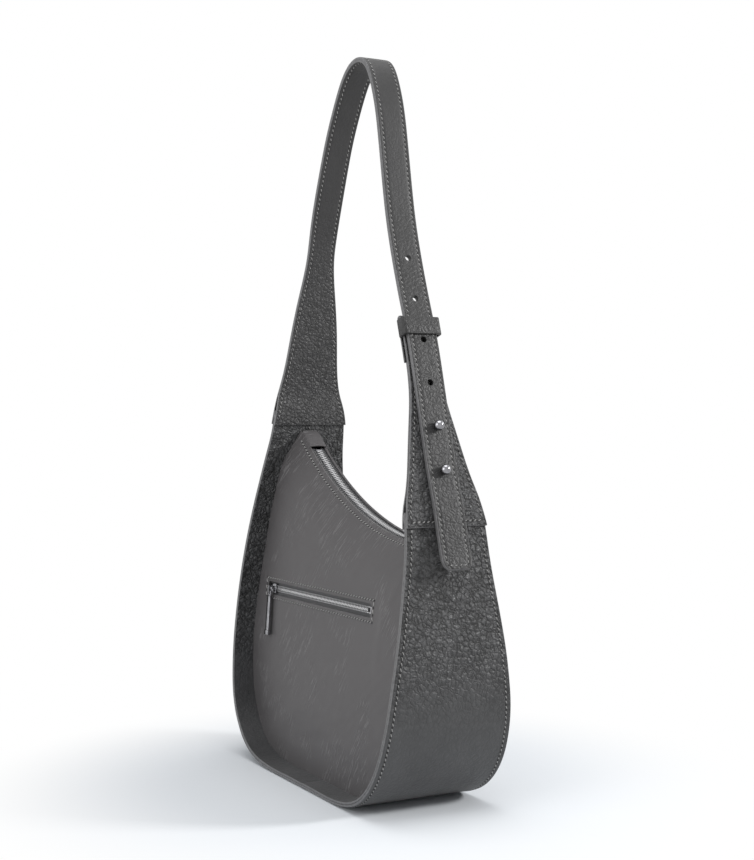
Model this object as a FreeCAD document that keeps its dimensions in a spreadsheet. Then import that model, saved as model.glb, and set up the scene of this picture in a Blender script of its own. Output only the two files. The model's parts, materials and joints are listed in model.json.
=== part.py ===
import FreeCAD, Part
import math
import os

Vector = FreeCAD.Vector

# A leather hobo bag: two smooth panels set into a wide pebbled gusset, a zip along
# the curved top edge, a zip pocket in the front and a long strap buttoned on a tab.
# X runs to the right in the front view, the front faces -Y and Z is up.  The origin
# is the middle of the seam across the bottom, on the surface the bag stands on.

doc = FreeCAD.newDocument("HoboBag")

DRIVING_SIZES = [
    # the bag
    ("half_width", 148.0),
    ("left_seam_height", 292.0),
    ("right_seam_height", 217.0),
    ("apex_height", 590.0),
    ("gusset_depth", 110.0),
    ("seam_depth", 68.0),
    ("seam_overlap", 12.0),
    # leather and fabric
    ("gusset_leather", 2.0),
    ("facing_leather", 1.8),
    ("panel_leather", 1.6),
    ("strap_leather", 2.0),
    ("lining_thickness", 0.6),
    ("pad_margin", 10.0),
    # the curved top edge
    ("opening_radius", 334.0),
    ("lip", 6.5),
    ("zip_start", 27.0),
    ("zip_finish", 20.0),
    # strap, tab and keeper
    ("strap_width", 25.0),
    ("tab_rise", 160.0),
    ("strap_gap", 1.3),
    ("fold_gap", 3.0),
    ("fold_drop", 38.0),
    ("hole_diameter", 5.0),
    ("hole_pitch", 34.5),
    ("keeper_leather", 2.0),
    ("keeper_height", 14.0),
    ("keeper_play", 0.5),
    # ball studs
    ("ball_diameter", 8.0),
    ("neck_diameter", 3.6),
    ("flange_diameter", 7.0),
    ("flange_thickness", 0.8),
    ("screw_diameter", 2.4),
    ("screw_head_diameter", 7.0),
    ("screw_head_thickness", 1.2),
    # zips
    ("tape_thickness", 0.6),
    ("tape_width", 5.3),
    ("cord_width", 0.7),
    ("cord_height", 1.7),
    ("tooth_pitch", 2.5),
    ("tooth_length", 1.0),
    ("tooth_height", 3.2),
    ("tooth_reach", 0.9),
    ("stop_length", 2.5),
    ("slider_length", 11.0),
    ("slider_width", 8.0),
    ("plate_thickness", 1.2),
    ("running_gap", 0.3),
    ("crown_window", 2.4),
    ("crown_bar", 1.0),
    # front pocket
    ("slot_length", 184.0),
    ("slot_height", 11.0),
    ("slot_drop", 71.0),
    ("slot_shift", -25.0),
    ("pocket_depth", 92.0),
    ("pull_length", 30.0),
    ("pull_width", 5.6),
    ("pull_thickness", 2.2),
]

sheet = doc.addObject("Spreadsheet::Sheet", "Sizes")
for row, (alias, value) in enumerate(DRIVING_SIZES, 1):
    sheet.set("A%d" % row, alias)
    sheet.set("B%d" % row, str(value))
    sheet.setAlias("B%d" % row, alias)
doc.recompute()


def size(alias):
    return float(sheet.get(alias))


half_depth = size("gusset_depth") / 2
shell = size("gusset_leather") + size("facing_leather")


# ---------------------------------------------------------------- curves in X and Z


def flat(x, z):
    return Vector(x, z, 0)


def running_lengths(points):
    lengths = [0.0]
    for first, second in zip(points, points[1:]):
        lengths.append(lengths[-1] + first.distanceToPoint(second))
    return lengths


def curve_through(points, parameters=None):
    curve = Part.BSplineCurve()
    if parameters is None:
        parameters = running_lengths(points)
    curve.interpolate(Points=points, Parameters=parameters)
    return curve


# Every layer of leather follows one of two lines, measured at the outer face of the
# gusset: each starts at the bottom seam, and a distance inward gives each face.
class LeatherLine:
    SAMPLE_STEP = 9.0
    FINE_STEP = 2.5
    FINE_REACH = 40.0

    # the layers change places just above the gusset's end, where samples are closer
    def __init__(self, points, turn, gusset_points):
        self.lengths = running_lengths(points)
        self.curve = curve_through(points)
        self.turn = turn
        self.gusset_end = self.lengths[gusset_points - 1]
        self.samples = self.spread(0.0, self.gusset_end, self.SAMPLE_STEP)
        fine_end = self.gusset_end + self.FINE_REACH
        self.samples += self.spread(self.gusset_end, fine_end, self.FINE_STEP)
        self.samples += self.spread(fine_end, self.lengths[-1], self.SAMPLE_STEP)
        self.samples.append(self.lengths[-1])

    def spread(self, first, last, step):
        count = int((last - first) / step)
        return [first + (last - first) * number / count for number in range(count)]

    # the stretch next to the bottom seam lies flat
    def inward(self, parameter):
        if parameter <= self.lengths[1]:
            return flat(0, 1)
        along = self.curve.tangent(parameter)[0]
        return Vector(along.y, -along.x, 0) * self.turn

    def place(self, parameter, distance=0.0):
        return self.curve.value(parameter) + self.inward(parameter) * distance

    def face(self, distance):
        points = []
        for parameter in self.samples:
            here = distance(parameter) if callable(distance) else distance
            points.append(self.place(parameter, here))
        return curve_through(points, self.samples)

    # length along the line where it passes a height, searched between two lengths
    def at_height(self, height, low, high):
        rising = self.curve.value(high).y > self.curve.value(low).y
        for _ in range(60):
            middle = (low + high) / 2
            if (self.curve.value(middle).y < height) == rising:
                low = middle
            else:
                high = middle
        return (low + high) / 2


def between(start, end, share_x, share_z):
    return flat(start.x + share_x * (end.x - start.x), start.y + share_z * (end.y - start.y))


def shares(corner, pairs):
    return [flat(x * corner.x, z * corner.y) for x, z in pairs]


width = size("half_width")
left_corner = flat(-width, size("left_seam_height"))
right_corner = flat(width, size("right_seam_height"))

left_gusset_shape = shares(left_corner, [
    (0.0, 0.0), (0.2, 0.0), (0.4, 0.0), (0.54, 0.004), (0.665, 0.015), (0.805, 0.048),
    (0.91, 0.105), (0.972, 0.165), (1.0, 0.245), (0.995, 0.34), (0.963, 0.46),
    (0.918, 0.575), (0.86, 0.70), (0.798, 0.83), (0.745, 0.93), (0.7, 1.0),
])
right_gusset_shape = shares(right_corner, [
    (0.0, 0.0), (0.2, 0.0), (0.37, 0.0), (0.49, 0.006), (0.61, 0.025), (0.722, 0.064),
    (0.818, 0.124), (0.896, 0.207), (0.95, 0.308), (0.98, 0.44), (0.985, 0.576),
    (0.973, 0.705), (0.948, 0.857), (0.922, 1.0),
])
left_seam = left_gusset_shape[-1]
right_seam = right_gusset_shape[-1]

# the tab rises from the right seam and leans in to the fold that holds the keeper
fold_top = flat(right_seam.x - 0.3 * size("tab_rise"), right_seam.y + size("tab_rise"))
tab_shape = [between(right_seam, fold_top, x, z) for x, z in [
    (0.075, 0.081), (0.142, 0.145), (0.223, 0.22), (0.319, 0.313), (0.452, 0.45),
    (0.64, 0.65), (0.844, 0.856), (1.0, 1.0),
]]
right_line = LeatherLine(right_gusset_shape + tab_shape, -1, len(right_gusset_shape))
right_gusset_end = right_line.gusset_end
fold_at = right_line.lengths[-1]

# the strap leaves the left seam, goes over the apex and comes down outside the tab
apex = flat(0.09 * width, size("apex_height") - size("strap_leather"))
left_leg = [between(left_seam, apex, x, z) for x, z in [
    (0.009, 0.071), (0.035, 0.132), (0.101, 0.25), (0.157, 0.368), (0.217, 0.48),
    (0.304, 0.595), (0.414, 0.704), (0.536, 0.811), (0.69, 0.91), (0.784, 0.958),
    (0.886, 0.989), (1.0, 1.0),
]]
stand_off = size("strap_gap") + 2 * size("strap_leather")
beside_tab = []
for drop in (0.16, 0.3, 0.45, 0.62, 0.78):
    length = right_line.at_height(fold_top.y - drop * size("tab_rise"), right_gusset_end, fold_at)
    beside_tab.append(right_line.place(length, -stand_off))
right_leg = [between(beside_tab[0], apex, x, z) for x, z in [
    (0.88, 0.991), (0.79, 0.964), (0.715, 0.917), (0.635, 0.843), (0.545, 0.702),
    (0.477, 0.562), (0.4, 0.425), (0.29, 0.289), (0.158, 0.153),
]]
tail = [
    flat(right_seam.x + 0.007 * width, right_seam.y + 0.09 * size("right_seam_height")),
    flat(right_seam.x + 0.045 * width, right_seam.y),
    flat(right_seam.x + 0.112 * width, right_seam.y - 0.14 * size("right_seam_height")),
]
strap_points = left_gusset_shape + left_leg + right_leg + beside_tab + tail
left_line = LeatherLine(strap_points, 1, len(left_gusset_shape))
left_gusset_end = left_line.gusset_end
apex_at = left_line.lengths[len(left_gusset_shape) + len(left_leg) - 1]
tail_at = left_line.lengths[-1]


# ---------------------------------------------------------------- bodies and sketches


def new_body(label):
    body = doc.addObject("PartDesign::Body", label)
    body.Label = label
    return body


def origin_part(body, role):
    for feature in body.Origin.OriginFeatures:
        if feature.Role == role:
            return feature
    raise ValueError(role)


def new_sketch(body, name, plane, geometry, offset=0.0):
    sketch = body.newObject("Sketcher::SketchObject", name)
    sketch.AttachmentSupport = [(origin_part(body, plane), "")]
    sketch.MapMode = "FlatFace"
    sketch.AttachmentOffset = FreeCAD.Placement(Vector(0, 0, offset), FreeCAD.Rotation())
    for piece in geometry:
        sketch.addGeometry(piece, False)
    return sketch


def segment(first, second):
    return Part.LineSegment(first, second)


def polygon(corners):
    return [segment(a, b) for a, b in zip(corners, corners[1:] + corners[:1])]


def rectangle(low_x, high_x, low_y, high_y):
    return polygon([flat(low_x, low_y), flat(high_x, low_y), flat(high_x, high_y), flat(low_x, high_y)])


def trimmed(curve, first, last):
    piece = curve.copy()
    piece.segment(first, last)
    return piece


def strip(outer, inner, first, last):
    near = trimmed(outer, first, last)
    far = trimmed(inner, first, last)
    return [
        near,
        far,
        segment(near.value(first), far.value(first)),
        segment(near.value(last), far.value(last)),
    ]


def bind(item, **expressions):
    for name, expression in expressions.items():
        item.setExpression(name, expression)


def pad(body, name, sketch, length, both_ways=True, backward=False):
    feature = body.newObject("PartDesign::Pad", name)
    feature.Profile = sketch
    feature.Midplane = both_ways
    feature.Reversed = backward
    bind(feature, Length=length)
    return feature


def pocket(body, name, sketch, both_ways=True, backward=False, length=None):
    feature = body.newObject("PartDesign::Pocket", name)
    feature.Profile = sketch
    feature.Midplane = both_ways
    feature.Reversed = backward
    if length is None:
        feature.Type = "ThroughAll"
    else:
        bind(feature, Length=length)
    return feature


def turned(body, name, sketch, angle, axis, groove=False):
    kind = "PartDesign::Groove" if groove else "PartDesign::Revolution"
    feature = body.newObject(kind, name)
    feature.Profile = sketch
    feature.ReferenceAxis = (origin_part(body, axis), [""])
    feature.Angle = angle
    feature.Midplane = angle < 360
    return feature


FAR = 2000.0


# everything outside a half width that changes with height, as a sketch across the bag
def side_profile(points):
    front = curve_through([flat(-half, height) for half, height in points])
    back = curve_through([flat(half, height) for half, height in points])
    first, last = points[0], points[-1]
    return rectangle(-FAR, FAR, -FAR, FAR) + [
        front,
        back,
        segment(flat(-first[0], first[1]), flat(first[0], first[1])),
        segment(flat(-last[0], last[1]), flat(last[0], last[1])),
    ]


# ---------------------------------------------------------------- gusset and its facing

seam_half = size("seam_depth") / 2
left_top = left_gusset_end + size("seam_overlap")
right_top = right_gusset_end + size("seam_overlap")
BELOW = 8.0


def gusset_profile(seam_height, spread):
    taper = half_depth - seam_half
    points = [(half_depth, -BELOW), (half_depth, 0.12 * seam_height)]
    for share_height, share_taper in spread:
        points.append((seam_half + share_taper * taper, share_height * seam_height))
    points.append((seam_half, seam_height))
    points.append((seam_half, seam_height + 3 * size("seam_overlap")))
    return side_profile(points)


left_profile = (
    size("left_seam_height"),
    [(0.24, 0.95), (0.36, 0.9), (0.48, 0.83), (0.6, 0.72), (0.78, 0.42), (0.92, 0.12)],
)
right_profile = (
    size("right_seam_height"),
    [(0.28, 0.94), (0.42, 0.82), (0.56, 0.62), (0.7, 0.39), (0.82, 0.19), (0.92, 0.06)],
)

left_faces = {}
right_faces = {}
for name, depth in [
    ("strap_outside", -size("strap_leather")),
    ("gusset_outside", 0.0),
    ("facing_outside", size("gusset_leather")),
    ("facing_inside", shell),
    ("lining_outside", shell + size("running_gap")),
    ("lining_inside", shell + size("running_gap") + size("lining_thickness")),
]:
    left_faces[name] = left_line.face(depth)
    right_faces[name] = right_line.face(depth)


def gusset_half(label, faces, outer, inner, top, profile):
    body = new_body(label)
    outline = new_sketch(body, label + "_outline", "XZ_Plane", strip(faces[outer], faces[inner], 0, top))
    pad(body, label + "_band", outline, "Sizes.gusset_depth")
    sides = new_sketch(body, label + "_sides", "YZ_Plane", gusset_profile(*profile))
    pocket(body, label + "_taper", sides)
    return body


gusset_half("gusset_left", left_faces, "gusset_outside", "facing_outside", left_top, left_profile)
gusset_half("gusset_left_facing", left_faces, "facing_outside", "facing_inside", left_top, left_profile)
gusset_half("gusset_right", right_faces, "gusset_outside", "facing_outside", right_top, right_profile)
gusset_half("gusset_right_facing", right_faces, "facing_outside", "facing_inside", right_top, right_profile)


# ---------------------------------------------------------------- strap

# The inner layer of the strap and of the tab lies on the outer layer, and steps in
# over the thickness of the gusset where the gusset's end is held between them.
STEP_LENGTH = 14.0


def stepped(top, extra=0.0):
    start = top + 1.0

    def depth(parameter):
        share = min(max((parameter - start) / STEP_LENGTH, 0.0), 1.0)
        ease = share * share * (3 - 2 * share)
        return shell * (1 - ease) + extra

    return depth


strap_half = size("strap_width") / 2
seam_z = size("left_seam_height")
leg = apex.y - seam_z
left_leg_profile = side_profile([
    (seam_half + 0.6, seam_z - 3 * BELOW),
    (seam_half + 0.6, seam_z - 0.0),
    (strap_half + 0.85 * (seam_half - strap_half), seam_z + 0.07 * leg),
    (strap_half + 0.66 * (seam_half - strap_half), seam_z + 0.13 * leg),
    (strap_half + 0.45 * (seam_half - strap_half), seam_z + 0.25 * leg),
    (strap_half + 0.22 * (seam_half - strap_half), seam_z + 0.368 * leg),
    (strap_half, seam_z + 0.483 * leg),
    (strap_half, seam_z + 0.56 * leg),
    (strap_half, seam_z + 0.75 * leg),
    (strap_half, apex.y + 5 * BELOW),
])


# the strap's free end keeps one width and has rounded corners
def tail_profile(low):
    high = apex.y + 5 * BELOW
    corner = 0.36 * size("strap_width")
    bend = corner * (1 - math.sqrt(0.5))
    side = strap_half
    return rectangle(-FAR, FAR, -FAR, FAR) + [
        segment(flat(-side, high), flat(side, high)),
        segment(flat(side, high), flat(side, low + corner)),
        Part.Arc(flat(side, low + corner), flat(side - bend, low + bend), flat(side - corner, low)),
        segment(flat(side - corner, low), flat(corner - side, low)),
        Part.Arc(flat(corner - side, low), flat(bend - side, low + bend), flat(-side, low + corner)),
        segment(flat(-side, low + corner), flat(-side, high)),
    ]


# heights of the six holes: two on the studs and four above them
def stud_length(number):
    return right_line.at_height(
        right_seam.y + (0.245 + 0.207 * number) * size("tab_rise"), right_gusset_end, fold_at
    )


stud_places = [right_line.place(stud_length(number)) for number in (0, 1)]
stud_normals = [right_line.inward(stud_length(number)) * -1 for number in (0, 1)]


def nearest_on_strap(place):
    best = None
    steps = 400
    for step in range(steps + 1):
        length = apex_at + (tail_at - apex_at) * step / steps
        gap = left_line.place(length).distanceToPoint(place)
        if best is None or gap < best[0]:
            best = (gap, length)
    return best[1]


upper_stud_length = nearest_on_strap(stud_places[1] + stud_normals[1] * stand_off)
hole_heights = [left_line.place(nearest_on_strap(stud_places[0] + stud_normals[0] * stand_off)).y]
for number in range(5):
    hole_heights.append(left_line.place(upper_stud_length - number * size("hole_pitch")).y)


def hole_circles(heights, diameter):
    centre_line = Vector(0, 0, 1)
    return [Part.Circle(flat(0, height), centre_line, diameter / 2) for height in heights]


def strap_layer(label, outer, inner):
    body = new_body(label)
    outline = new_sketch(body, label + "_outline", "XZ_Plane", strip(outer, inner, left_gusset_end, tail_at))
    pad(body, label + "_band", outline, "Sizes.seam_depth + Sizes.pad_margin")
    wide = new_sketch(body, label + "_left_sides", "YZ_Plane", left_leg_profile)
    pocket(body, label + "_left_taper", wide, both_ways=False)
    narrow = new_sketch(body, label + "_right_sides", "YZ_Plane", tail_profile(tail[-1].y - 1.0))
    pocket(body, label + "_right_width", narrow, both_ways=False, backward=True)
    holes = new_sketch(body, label + "_hole_circles", "YZ_Plane", [])
    for number, circle in enumerate(hole_circles(hole_heights, size("hole_diameter"))):
        holes.addGeometry(circle, False)
    pocket(body, label + "_holes", holes, both_ways=False, backward=True)
    return body


strap_core = left_line.face(stepped(left_top))
strap_inside = left_line.face(stepped(left_top, size("strap_leather")))
strap_layer("strap_outer", left_faces["strap_outside"], left_faces["gusset_outside"])
strap_layer("strap_inner", strap_core, strap_inside)


# ---------------------------------------------------------------- tab with its fold

tab_height = size("tab_rise")
seam_zr = size("right_seam_height")
spare = seam_half - strap_half - 1.5
tab_half = strap_half + 1.5
tab_profile = side_profile([
    (seam_half + 0.6, seam_zr - 3 * BELOW),
    (seam_half + 0.6, seam_zr),
    (tab_half + 0.97 * spare, seam_zr + 0.05 * tab_height),
    (tab_half + 0.86 * spare, seam_zr + 0.125 * tab_height),
    (tab_half + 0.66 * spare, seam_zr + 0.22 * tab_height),
    (tab_half + 0.5 * spare, seam_zr + 0.31 * tab_height),
    (tab_half + 0.36 * spare, seam_zr + 0.4 * tab_height),
    (tab_half + 0.2 * spare, seam_zr + 0.5 * tab_height),
    (tab_half + 0.04 * spare, seam_zr + 0.62 * tab_height),
    (tab_half - 0.5, seam_zr + 0.75 * tab_height),
    (tab_half - 1.0, seam_zr + 1.2 * tab_height),
])


# the outer layer turns in over the keeper and comes down again behind it
def folded_outline():
    leather = size("strap_leather")
    gap = size("fold_gap")
    outside = right_line.face(-leather)
    underside = right_line.face(0.0)
    behind = right_line.face(gap)
    hanging = right_line.face(gap + leather)
    low = right_gusset_end
    bend_at = fold_at - leather - gap / 2
    return_at = fold_at - size("fold_drop")
    along = right_line.curve.tangent(bend_at)[0]
    middle = right_line.place(bend_at, gap / 2)
    big = Part.Arc(
        right_line_point(outside, bend_at),
        middle + along * (gap / 2 + leather),
        right_line_point(hanging, bend_at),
    )
    small = Part.Arc(
        right_line_point(underside, bend_at),
        middle + along * (gap / 2),
        right_line_point(behind, bend_at),
    )
    return [
        trimmed(outside, low, bend_at),
        big,
        trimmed(hanging, return_at, bend_at),
        segment(hanging.value(return_at), behind.value(return_at)),
        trimmed(behind, return_at, bend_at),
        small,
        trimmed(underside, low, bend_at),
        segment(outside.value(low), underside.value(low)),
    ], return_at


def right_line_point(curve, length):
    return curve.value(length)


tab_outer = new_body("tab_outer")
fold_shape, fold_return_at = folded_outline()
tab_outline = new_sketch(tab_outer, "tab_outer_outline", "XZ_Plane", fold_shape)
pad(tab_outer, "tab_outer_band", tab_outline, "Sizes.seam_depth + Sizes.pad_margin")
tab_sides = new_sketch(tab_outer, "tab_outer_sides", "YZ_Plane", tab_profile)
pocket(tab_outer, "tab_outer_taper", tab_sides)
tab_screws = new_sketch(
    tab_outer,
    "tab_outer_screw_circles",
    "YZ_Plane",
    hole_circles([place.y for place in stud_places], size("screw_diameter") + 1.2),
)
pocket(tab_outer, "tab_outer_screw_holes", tab_screws)

tab_inner = new_body("tab_inner")
tab_inner_outline = new_sketch(
    tab_inner,
    "tab_inner_outline",
    "XZ_Plane",
    strip(
        right_line.face(stepped(right_top)),
        right_line.face(stepped(right_top, size("strap_leather"))),
        right_gusset_end,
        fold_return_at - 1.0,
    ),
)
pad(tab_inner, "tab_inner_band", tab_inner_outline, "Sizes.seam_depth + Sizes.pad_margin")
tab_inner_sides = new_sketch(tab_inner, "tab_inner_sides", "YZ_Plane", tab_profile)
pocket(tab_inner, "tab_inner_taper", tab_inner_sides)
tab_inner_screws = new_sketch(
    tab_inner,
    "tab_inner_screw_circles",
    "YZ_Plane",
    hole_circles([place.y for place in stud_places], size("screw_diameter") + 1.2),
)
pocket(tab_inner, "tab_inner_screw_holes", tab_inner_screws)


# ---------------------------------------------------------------- keeper


# A frame whose local Z runs along the strap and whose local X points out of the bag.
def frame_on(line, length, distance, out_sign=-1):
    base = line.place(length, distance)
    out = line.inward(length) * out_sign
    x_axis = Vector(out.x, 0, out.y)
    y_axis = Vector(0, 1, 0)
    z_axis = x_axis.cross(y_axis)
    matrix = FreeCAD.Matrix(
        x_axis.x, y_axis.x, z_axis.x, base.x,
        x_axis.y, y_axis.y, z_axis.y, 0,
        x_axis.z, y_axis.z, z_axis.z, base.y,
        0, 0, 0, 1,
    )
    return FreeCAD.Placement(matrix)


# The keeper goes round the strap and through the fold, so its inner run lies in the
# fold and its outer run lies on the strap.
keeper_length = fold_at - size("strap_leather") - size("fold_gap") / 2 - size("keeper_height") / 2 - 1.2
keeper_inner_x = -size("fold_gap") / 2 - size("keeper_leather") / 2
keeper_place = right_line.place(keeper_length)
keeper_on_strap = nearest_on_strap(keeper_place)
strap_face = left_line.place(keeper_on_strap, -size("strap_leather"))
keeper_span = strap_face.distanceToPoint(keeper_place)

keeper = new_body("keeper")
keeper_frame = frame_on(right_line, keeper_length, 0.0)
inner_low = keeper_inner_x
inner_high = keeper_span + size("keeper_play") + size("keeper_leather")
half_span = tab_half + size("keeper_play")
wall = size("keeper_leather")


def rounded_loop(low_x, high_x, half_y, radius):
    bend = radius * (1 - math.sqrt(0.5))
    pieces = [
        segment(flat(low_x + radius, -half_y), flat(high_x - radius, -half_y)),
        segment(flat(low_x + radius, half_y), flat(high_x - radius, half_y)),
        segment(flat(low_x, radius - half_y), flat(low_x, half_y - radius)),
        segment(flat(high_x, radius - half_y), flat(high_x, half_y - radius)),
    ]
    for edge_x, inside_x in ((low_x, 1), (high_x, -1)):
        for sign in (-1, 1):
            pieces.append(Part.Arc(
                flat(edge_x, sign * (half_y - radius)),
                flat(edge_x + inside_x * bend, sign * (half_y - bend)),
                flat(edge_x + inside_x * radius, sign * half_y),
            ))
    return pieces


keeper_loop = rounded_loop(inner_low, inner_high, half_span + wall, wall + 0.8)
keeper_loop += rounded_loop(inner_low + wall, inner_high - wall, half_span, 0.8)
keeper_sketch = new_sketch(keeper, "keeper_loop", "XY_Plane", keeper_loop)
pad(keeper, "keeper_band", keeper_sketch, "Sizes.keeper_height")
keeper.Placement = keeper_frame


# ---------------------------------------------------------------- ball studs


SEAT_GAP = 0.1


def stud(label, number):
    body = new_body(label)
    ball = size("ball_diameter") / 2
    neck = size("neck_diameter") / 2
    flange = size("flange_diameter") / 2
    plate = size("flange_thickness")
    bore = size("screw_diameter") / 2
    neck_top = size("strap_gap") + 2 * size("strap_leather") + 0.4
    rise = math.sqrt(ball * ball - neck * neck)
    centre = neck_top + rise
    bore_end = neck_top
    outline = [
        segment(flat(bore, 0), flat(flange, 0)),
        segment(flat(flange, 0), flat(flange, plate)),
        segment(flat(flange, plate), flat(neck, plate)),
        segment(flat(neck, plate), flat(neck, neck_top)),
        Part.Arc(flat(neck, neck_top), flat(ball, centre), flat(0, centre + ball)),
        segment(flat(0, centre + ball), flat(0, bore_end)),
        segment(flat(0, bore_end), flat(bore, bore_end)),
        segment(flat(bore, bore_end), flat(bore, 0)),
    ]
    sketch = new_sketch(body, label + "_section", "XZ_Plane", outline)
    turned(body, label + "_turned", sketch, 360, "Z_Axis")
    body.Placement = stud_frame(number, size("strap_leather") + SEAT_GAP)
    return body


def stud_frame(number, out_distance):
    place = stud_places[number] + stud_normals[number] * out_distance
    out = Vector(stud_normals[number].x, 0, stud_normals[number].y)
    return FreeCAD.Placement(Vector(place.x, 0, place.y), FreeCAD.Rotation(Vector(0, 0, 1), out))


stud("stud_lower", 0)
stud("stud_upper", 1)


# the two screws are alike, so they share one node
def stud_screw(number):
    tab = 2 * size("strap_leather")
    shank = doc.addObject("Part::Cylinder", "screw_shank_%d" % number)
    bind(
        shank,
        Radius="Sizes.screw_diameter / 2",
        Height="Sizes.screw_head_thickness + 2 * Sizes.strap_leather + Sizes.strap_gap + 2",
    )
    head = doc.addObject("Part::Cylinder", "screw_head_%d" % number)
    bind(head, Radius="Sizes.screw_head_diameter / 2", Height="Sizes.screw_head_thickness")
    screw = doc.addObject("Part::Fuse", "screw_%d" % number)
    screw.Base = shank
    screw.Tool = head
    screw.Placement = stud_frame(
        number, size("strap_leather") - tab - size("screw_head_thickness") - SEAT_GAP
    )
    return screw


screws = doc.addObject("Part::Compound", "stud_screws")
screws.Label = "stud_screws"
screws.Links = [stud_screw(0), stud_screw(1)]


# ---------------------------------------------------------------- the curved top edge

radius = size("opening_radius")
edge_left = flat(left_seam.x + shell, left_seam.y - 6.0)
edge_right = flat(right_seam.x - shell, right_seam.y - 14.0)
chord = edge_right - edge_left
half_chord = chord.Length / 2
upward = Vector(-chord.y, chord.x, 0).normalize()
arc_centre = edge_left + chord * 0.5 + upward * math.sqrt(radius**2 - half_chord**2)
arc_place = FreeCAD.Placement(Vector(arc_centre.x, 0, arc_centre.y), FreeCAD.Rotation())


# angle from straight down, positive towards the right
def angle_to(place):
    return math.atan2(place.x - arc_centre.x, arc_centre.y - place.y)


angle_left = angle_to(edge_left)
angle_right = angle_to(edge_right)
zip_from = angle_left + size("zip_start") / radius
zip_to = angle_right - size("zip_finish") / radius


def polar(distance, angle):
    return flat(distance * math.sin(angle), -distance * math.cos(angle))


def ring_sector(inner, outer, first, last):
    middle = (first + last) / 2
    return [
        Part.Arc(polar(inner, first), polar(inner, middle), polar(inner, last)),
        Part.Arc(polar(outer, first), polar(outer, middle), polar(outer, last)),
        segment(polar(inner, first), polar(outer, first)),
        segment(polar(inner, last), polar(outer, last)),
    ]


# ---------------------------------------------------------------- panels and lining

lip = size("lip")
belly = [
    (0.255, 8.0), (0.355, 23.0), (0.436, 41.0), (0.5, 66.0), (0.545, 96.0),
    (0.61, 143.0), (0.65, 186.0), (0.66, 226.0), (0.65, 275.0),
]
panel_section = [(lip, 0.0), (lip + 2.5, 0.15), (lip + 4.8, 1.4)]
panel_section.append(((lip + 4.8 + belly[0][0] * half_depth) / 2 + 0.7, 4.4))
panel_section += [(share * half_depth, drop) for share, drop in belly]

lining_section = [(lip - 0.3, 3.1), (lip + 1.3, 8.0)]
lining_section += [
    (share * half_depth, drop)
    for share, drop in [
        (0.24, 23.0), (0.31, 41.0), (0.36, 66.0), (0.395, 96.0), (0.435, 143.0),
        (0.455, 186.0), (0.46, 226.0), (0.455, 275.0),
    ]
]


# sections lie in Y and -Z, with the drop measured from the curved edge
def section_curve(section, side, thickness=0.0):
    points = [flat(side * out, -(radius + drop)) for out, drop in section]
    curve = curve_through(points)
    if thickness == 0.0:
        return curve
    moved = []
    lengths = running_lengths(points)
    for length, point in zip(lengths, points):
        along = curve.tangent(length)[0]
        inward = Vector(along.y, -along.x, 0) * side
        moved.append(point + inward * thickness)
    return curve_through(moved, lengths)


def section_outline(section, side, thickness):
    outer = section_curve(section, side)
    inner = section_curve(section, side, thickness)
    return [
        outer,
        inner,
        segment(outer.StartPoint, inner.StartPoint),
        segment(outer.EndPoint, inner.EndPoint),
    ]


def relative(curve):
    moved = curve.copy()
    moved.translate(arc_centre * -1)
    return moved


# the region inside the gusset, open upward, with everything outside it cut away
def outside_of(face):
    left = relative(trimmed(left_faces[face], 0, left_top))
    right = relative(trimmed(right_faces[face], 0, right_top))
    left_end = left.EndPoint
    right_end = right.EndPoint
    roof = 3 * BELOW
    return rectangle(-FAR, FAR, -FAR, FAR) + [
        left,
        right,
        segment(left_end, flat(left_end.x, roof)),
        segment(flat(left_end.x, roof), flat(right_end.x, roof)),
        segment(flat(right_end.x, roof), right_end),
    ]


SWEEP = 110.0


def panel(label, side):
    body = new_body(label)
    body.Placement = arc_place
    section = new_sketch(
        body, label + "_section", "YZ_Plane", section_outline(panel_section, side, size("panel_leather"))
    )
    turned(body, label + "_belly", section, SWEEP, "Y_Axis")
    # the two panels close over the end of the zip and meet in the middle
    leather = size("panel_leather")
    cap = new_sketch(
        body,
        label + "_cap_section",
        "YZ_Plane",
        rectangle(min(0, side * (lip + 0.5)), max(0, side * (lip + 0.5)), -radius - leather, -radius),
    )
    turned(body, label + "_cap", cap, SWEEP, "Y_Axis")
    clear = new_sketch(
        body,
        label + "_zip_region",
        "XZ_Plane",
        ring_sector(radius - BELOW, radius + BELOW, zip_from - size("stop_length") * 3 / radius, 0.9),
    )
    pocket(body, label + "_zip_gap", clear, both_ways=False, backward=side < 0, length="Sizes.lip")
    inside = new_sketch(body, label + "_edge", "XZ_Plane", outside_of("facing_inside"))
    pocket(body, label + "_trim", inside)
    return body


front_panel = panel("front_panel", -1)
panel("back_panel", 1)


def lining_panel(label, side):
    body = new_body(label)
    body.Placement = arc_place
    section = new_sketch(
        body,
        label + "_section",
        "YZ_Plane",
        section_outline(lining_section, side, size("lining_thickness")),
    )
    turned(body, label + "_belly", section, SWEEP, "Y_Axis")
    inside = new_sketch(body, label + "_edge", "XZ_Plane", outside_of("lining_inside"))
    pocket(body, label + "_trim", inside)
    return body


lining_panel("lining_front", -1)
lining_panel("lining_back", 1)

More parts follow.
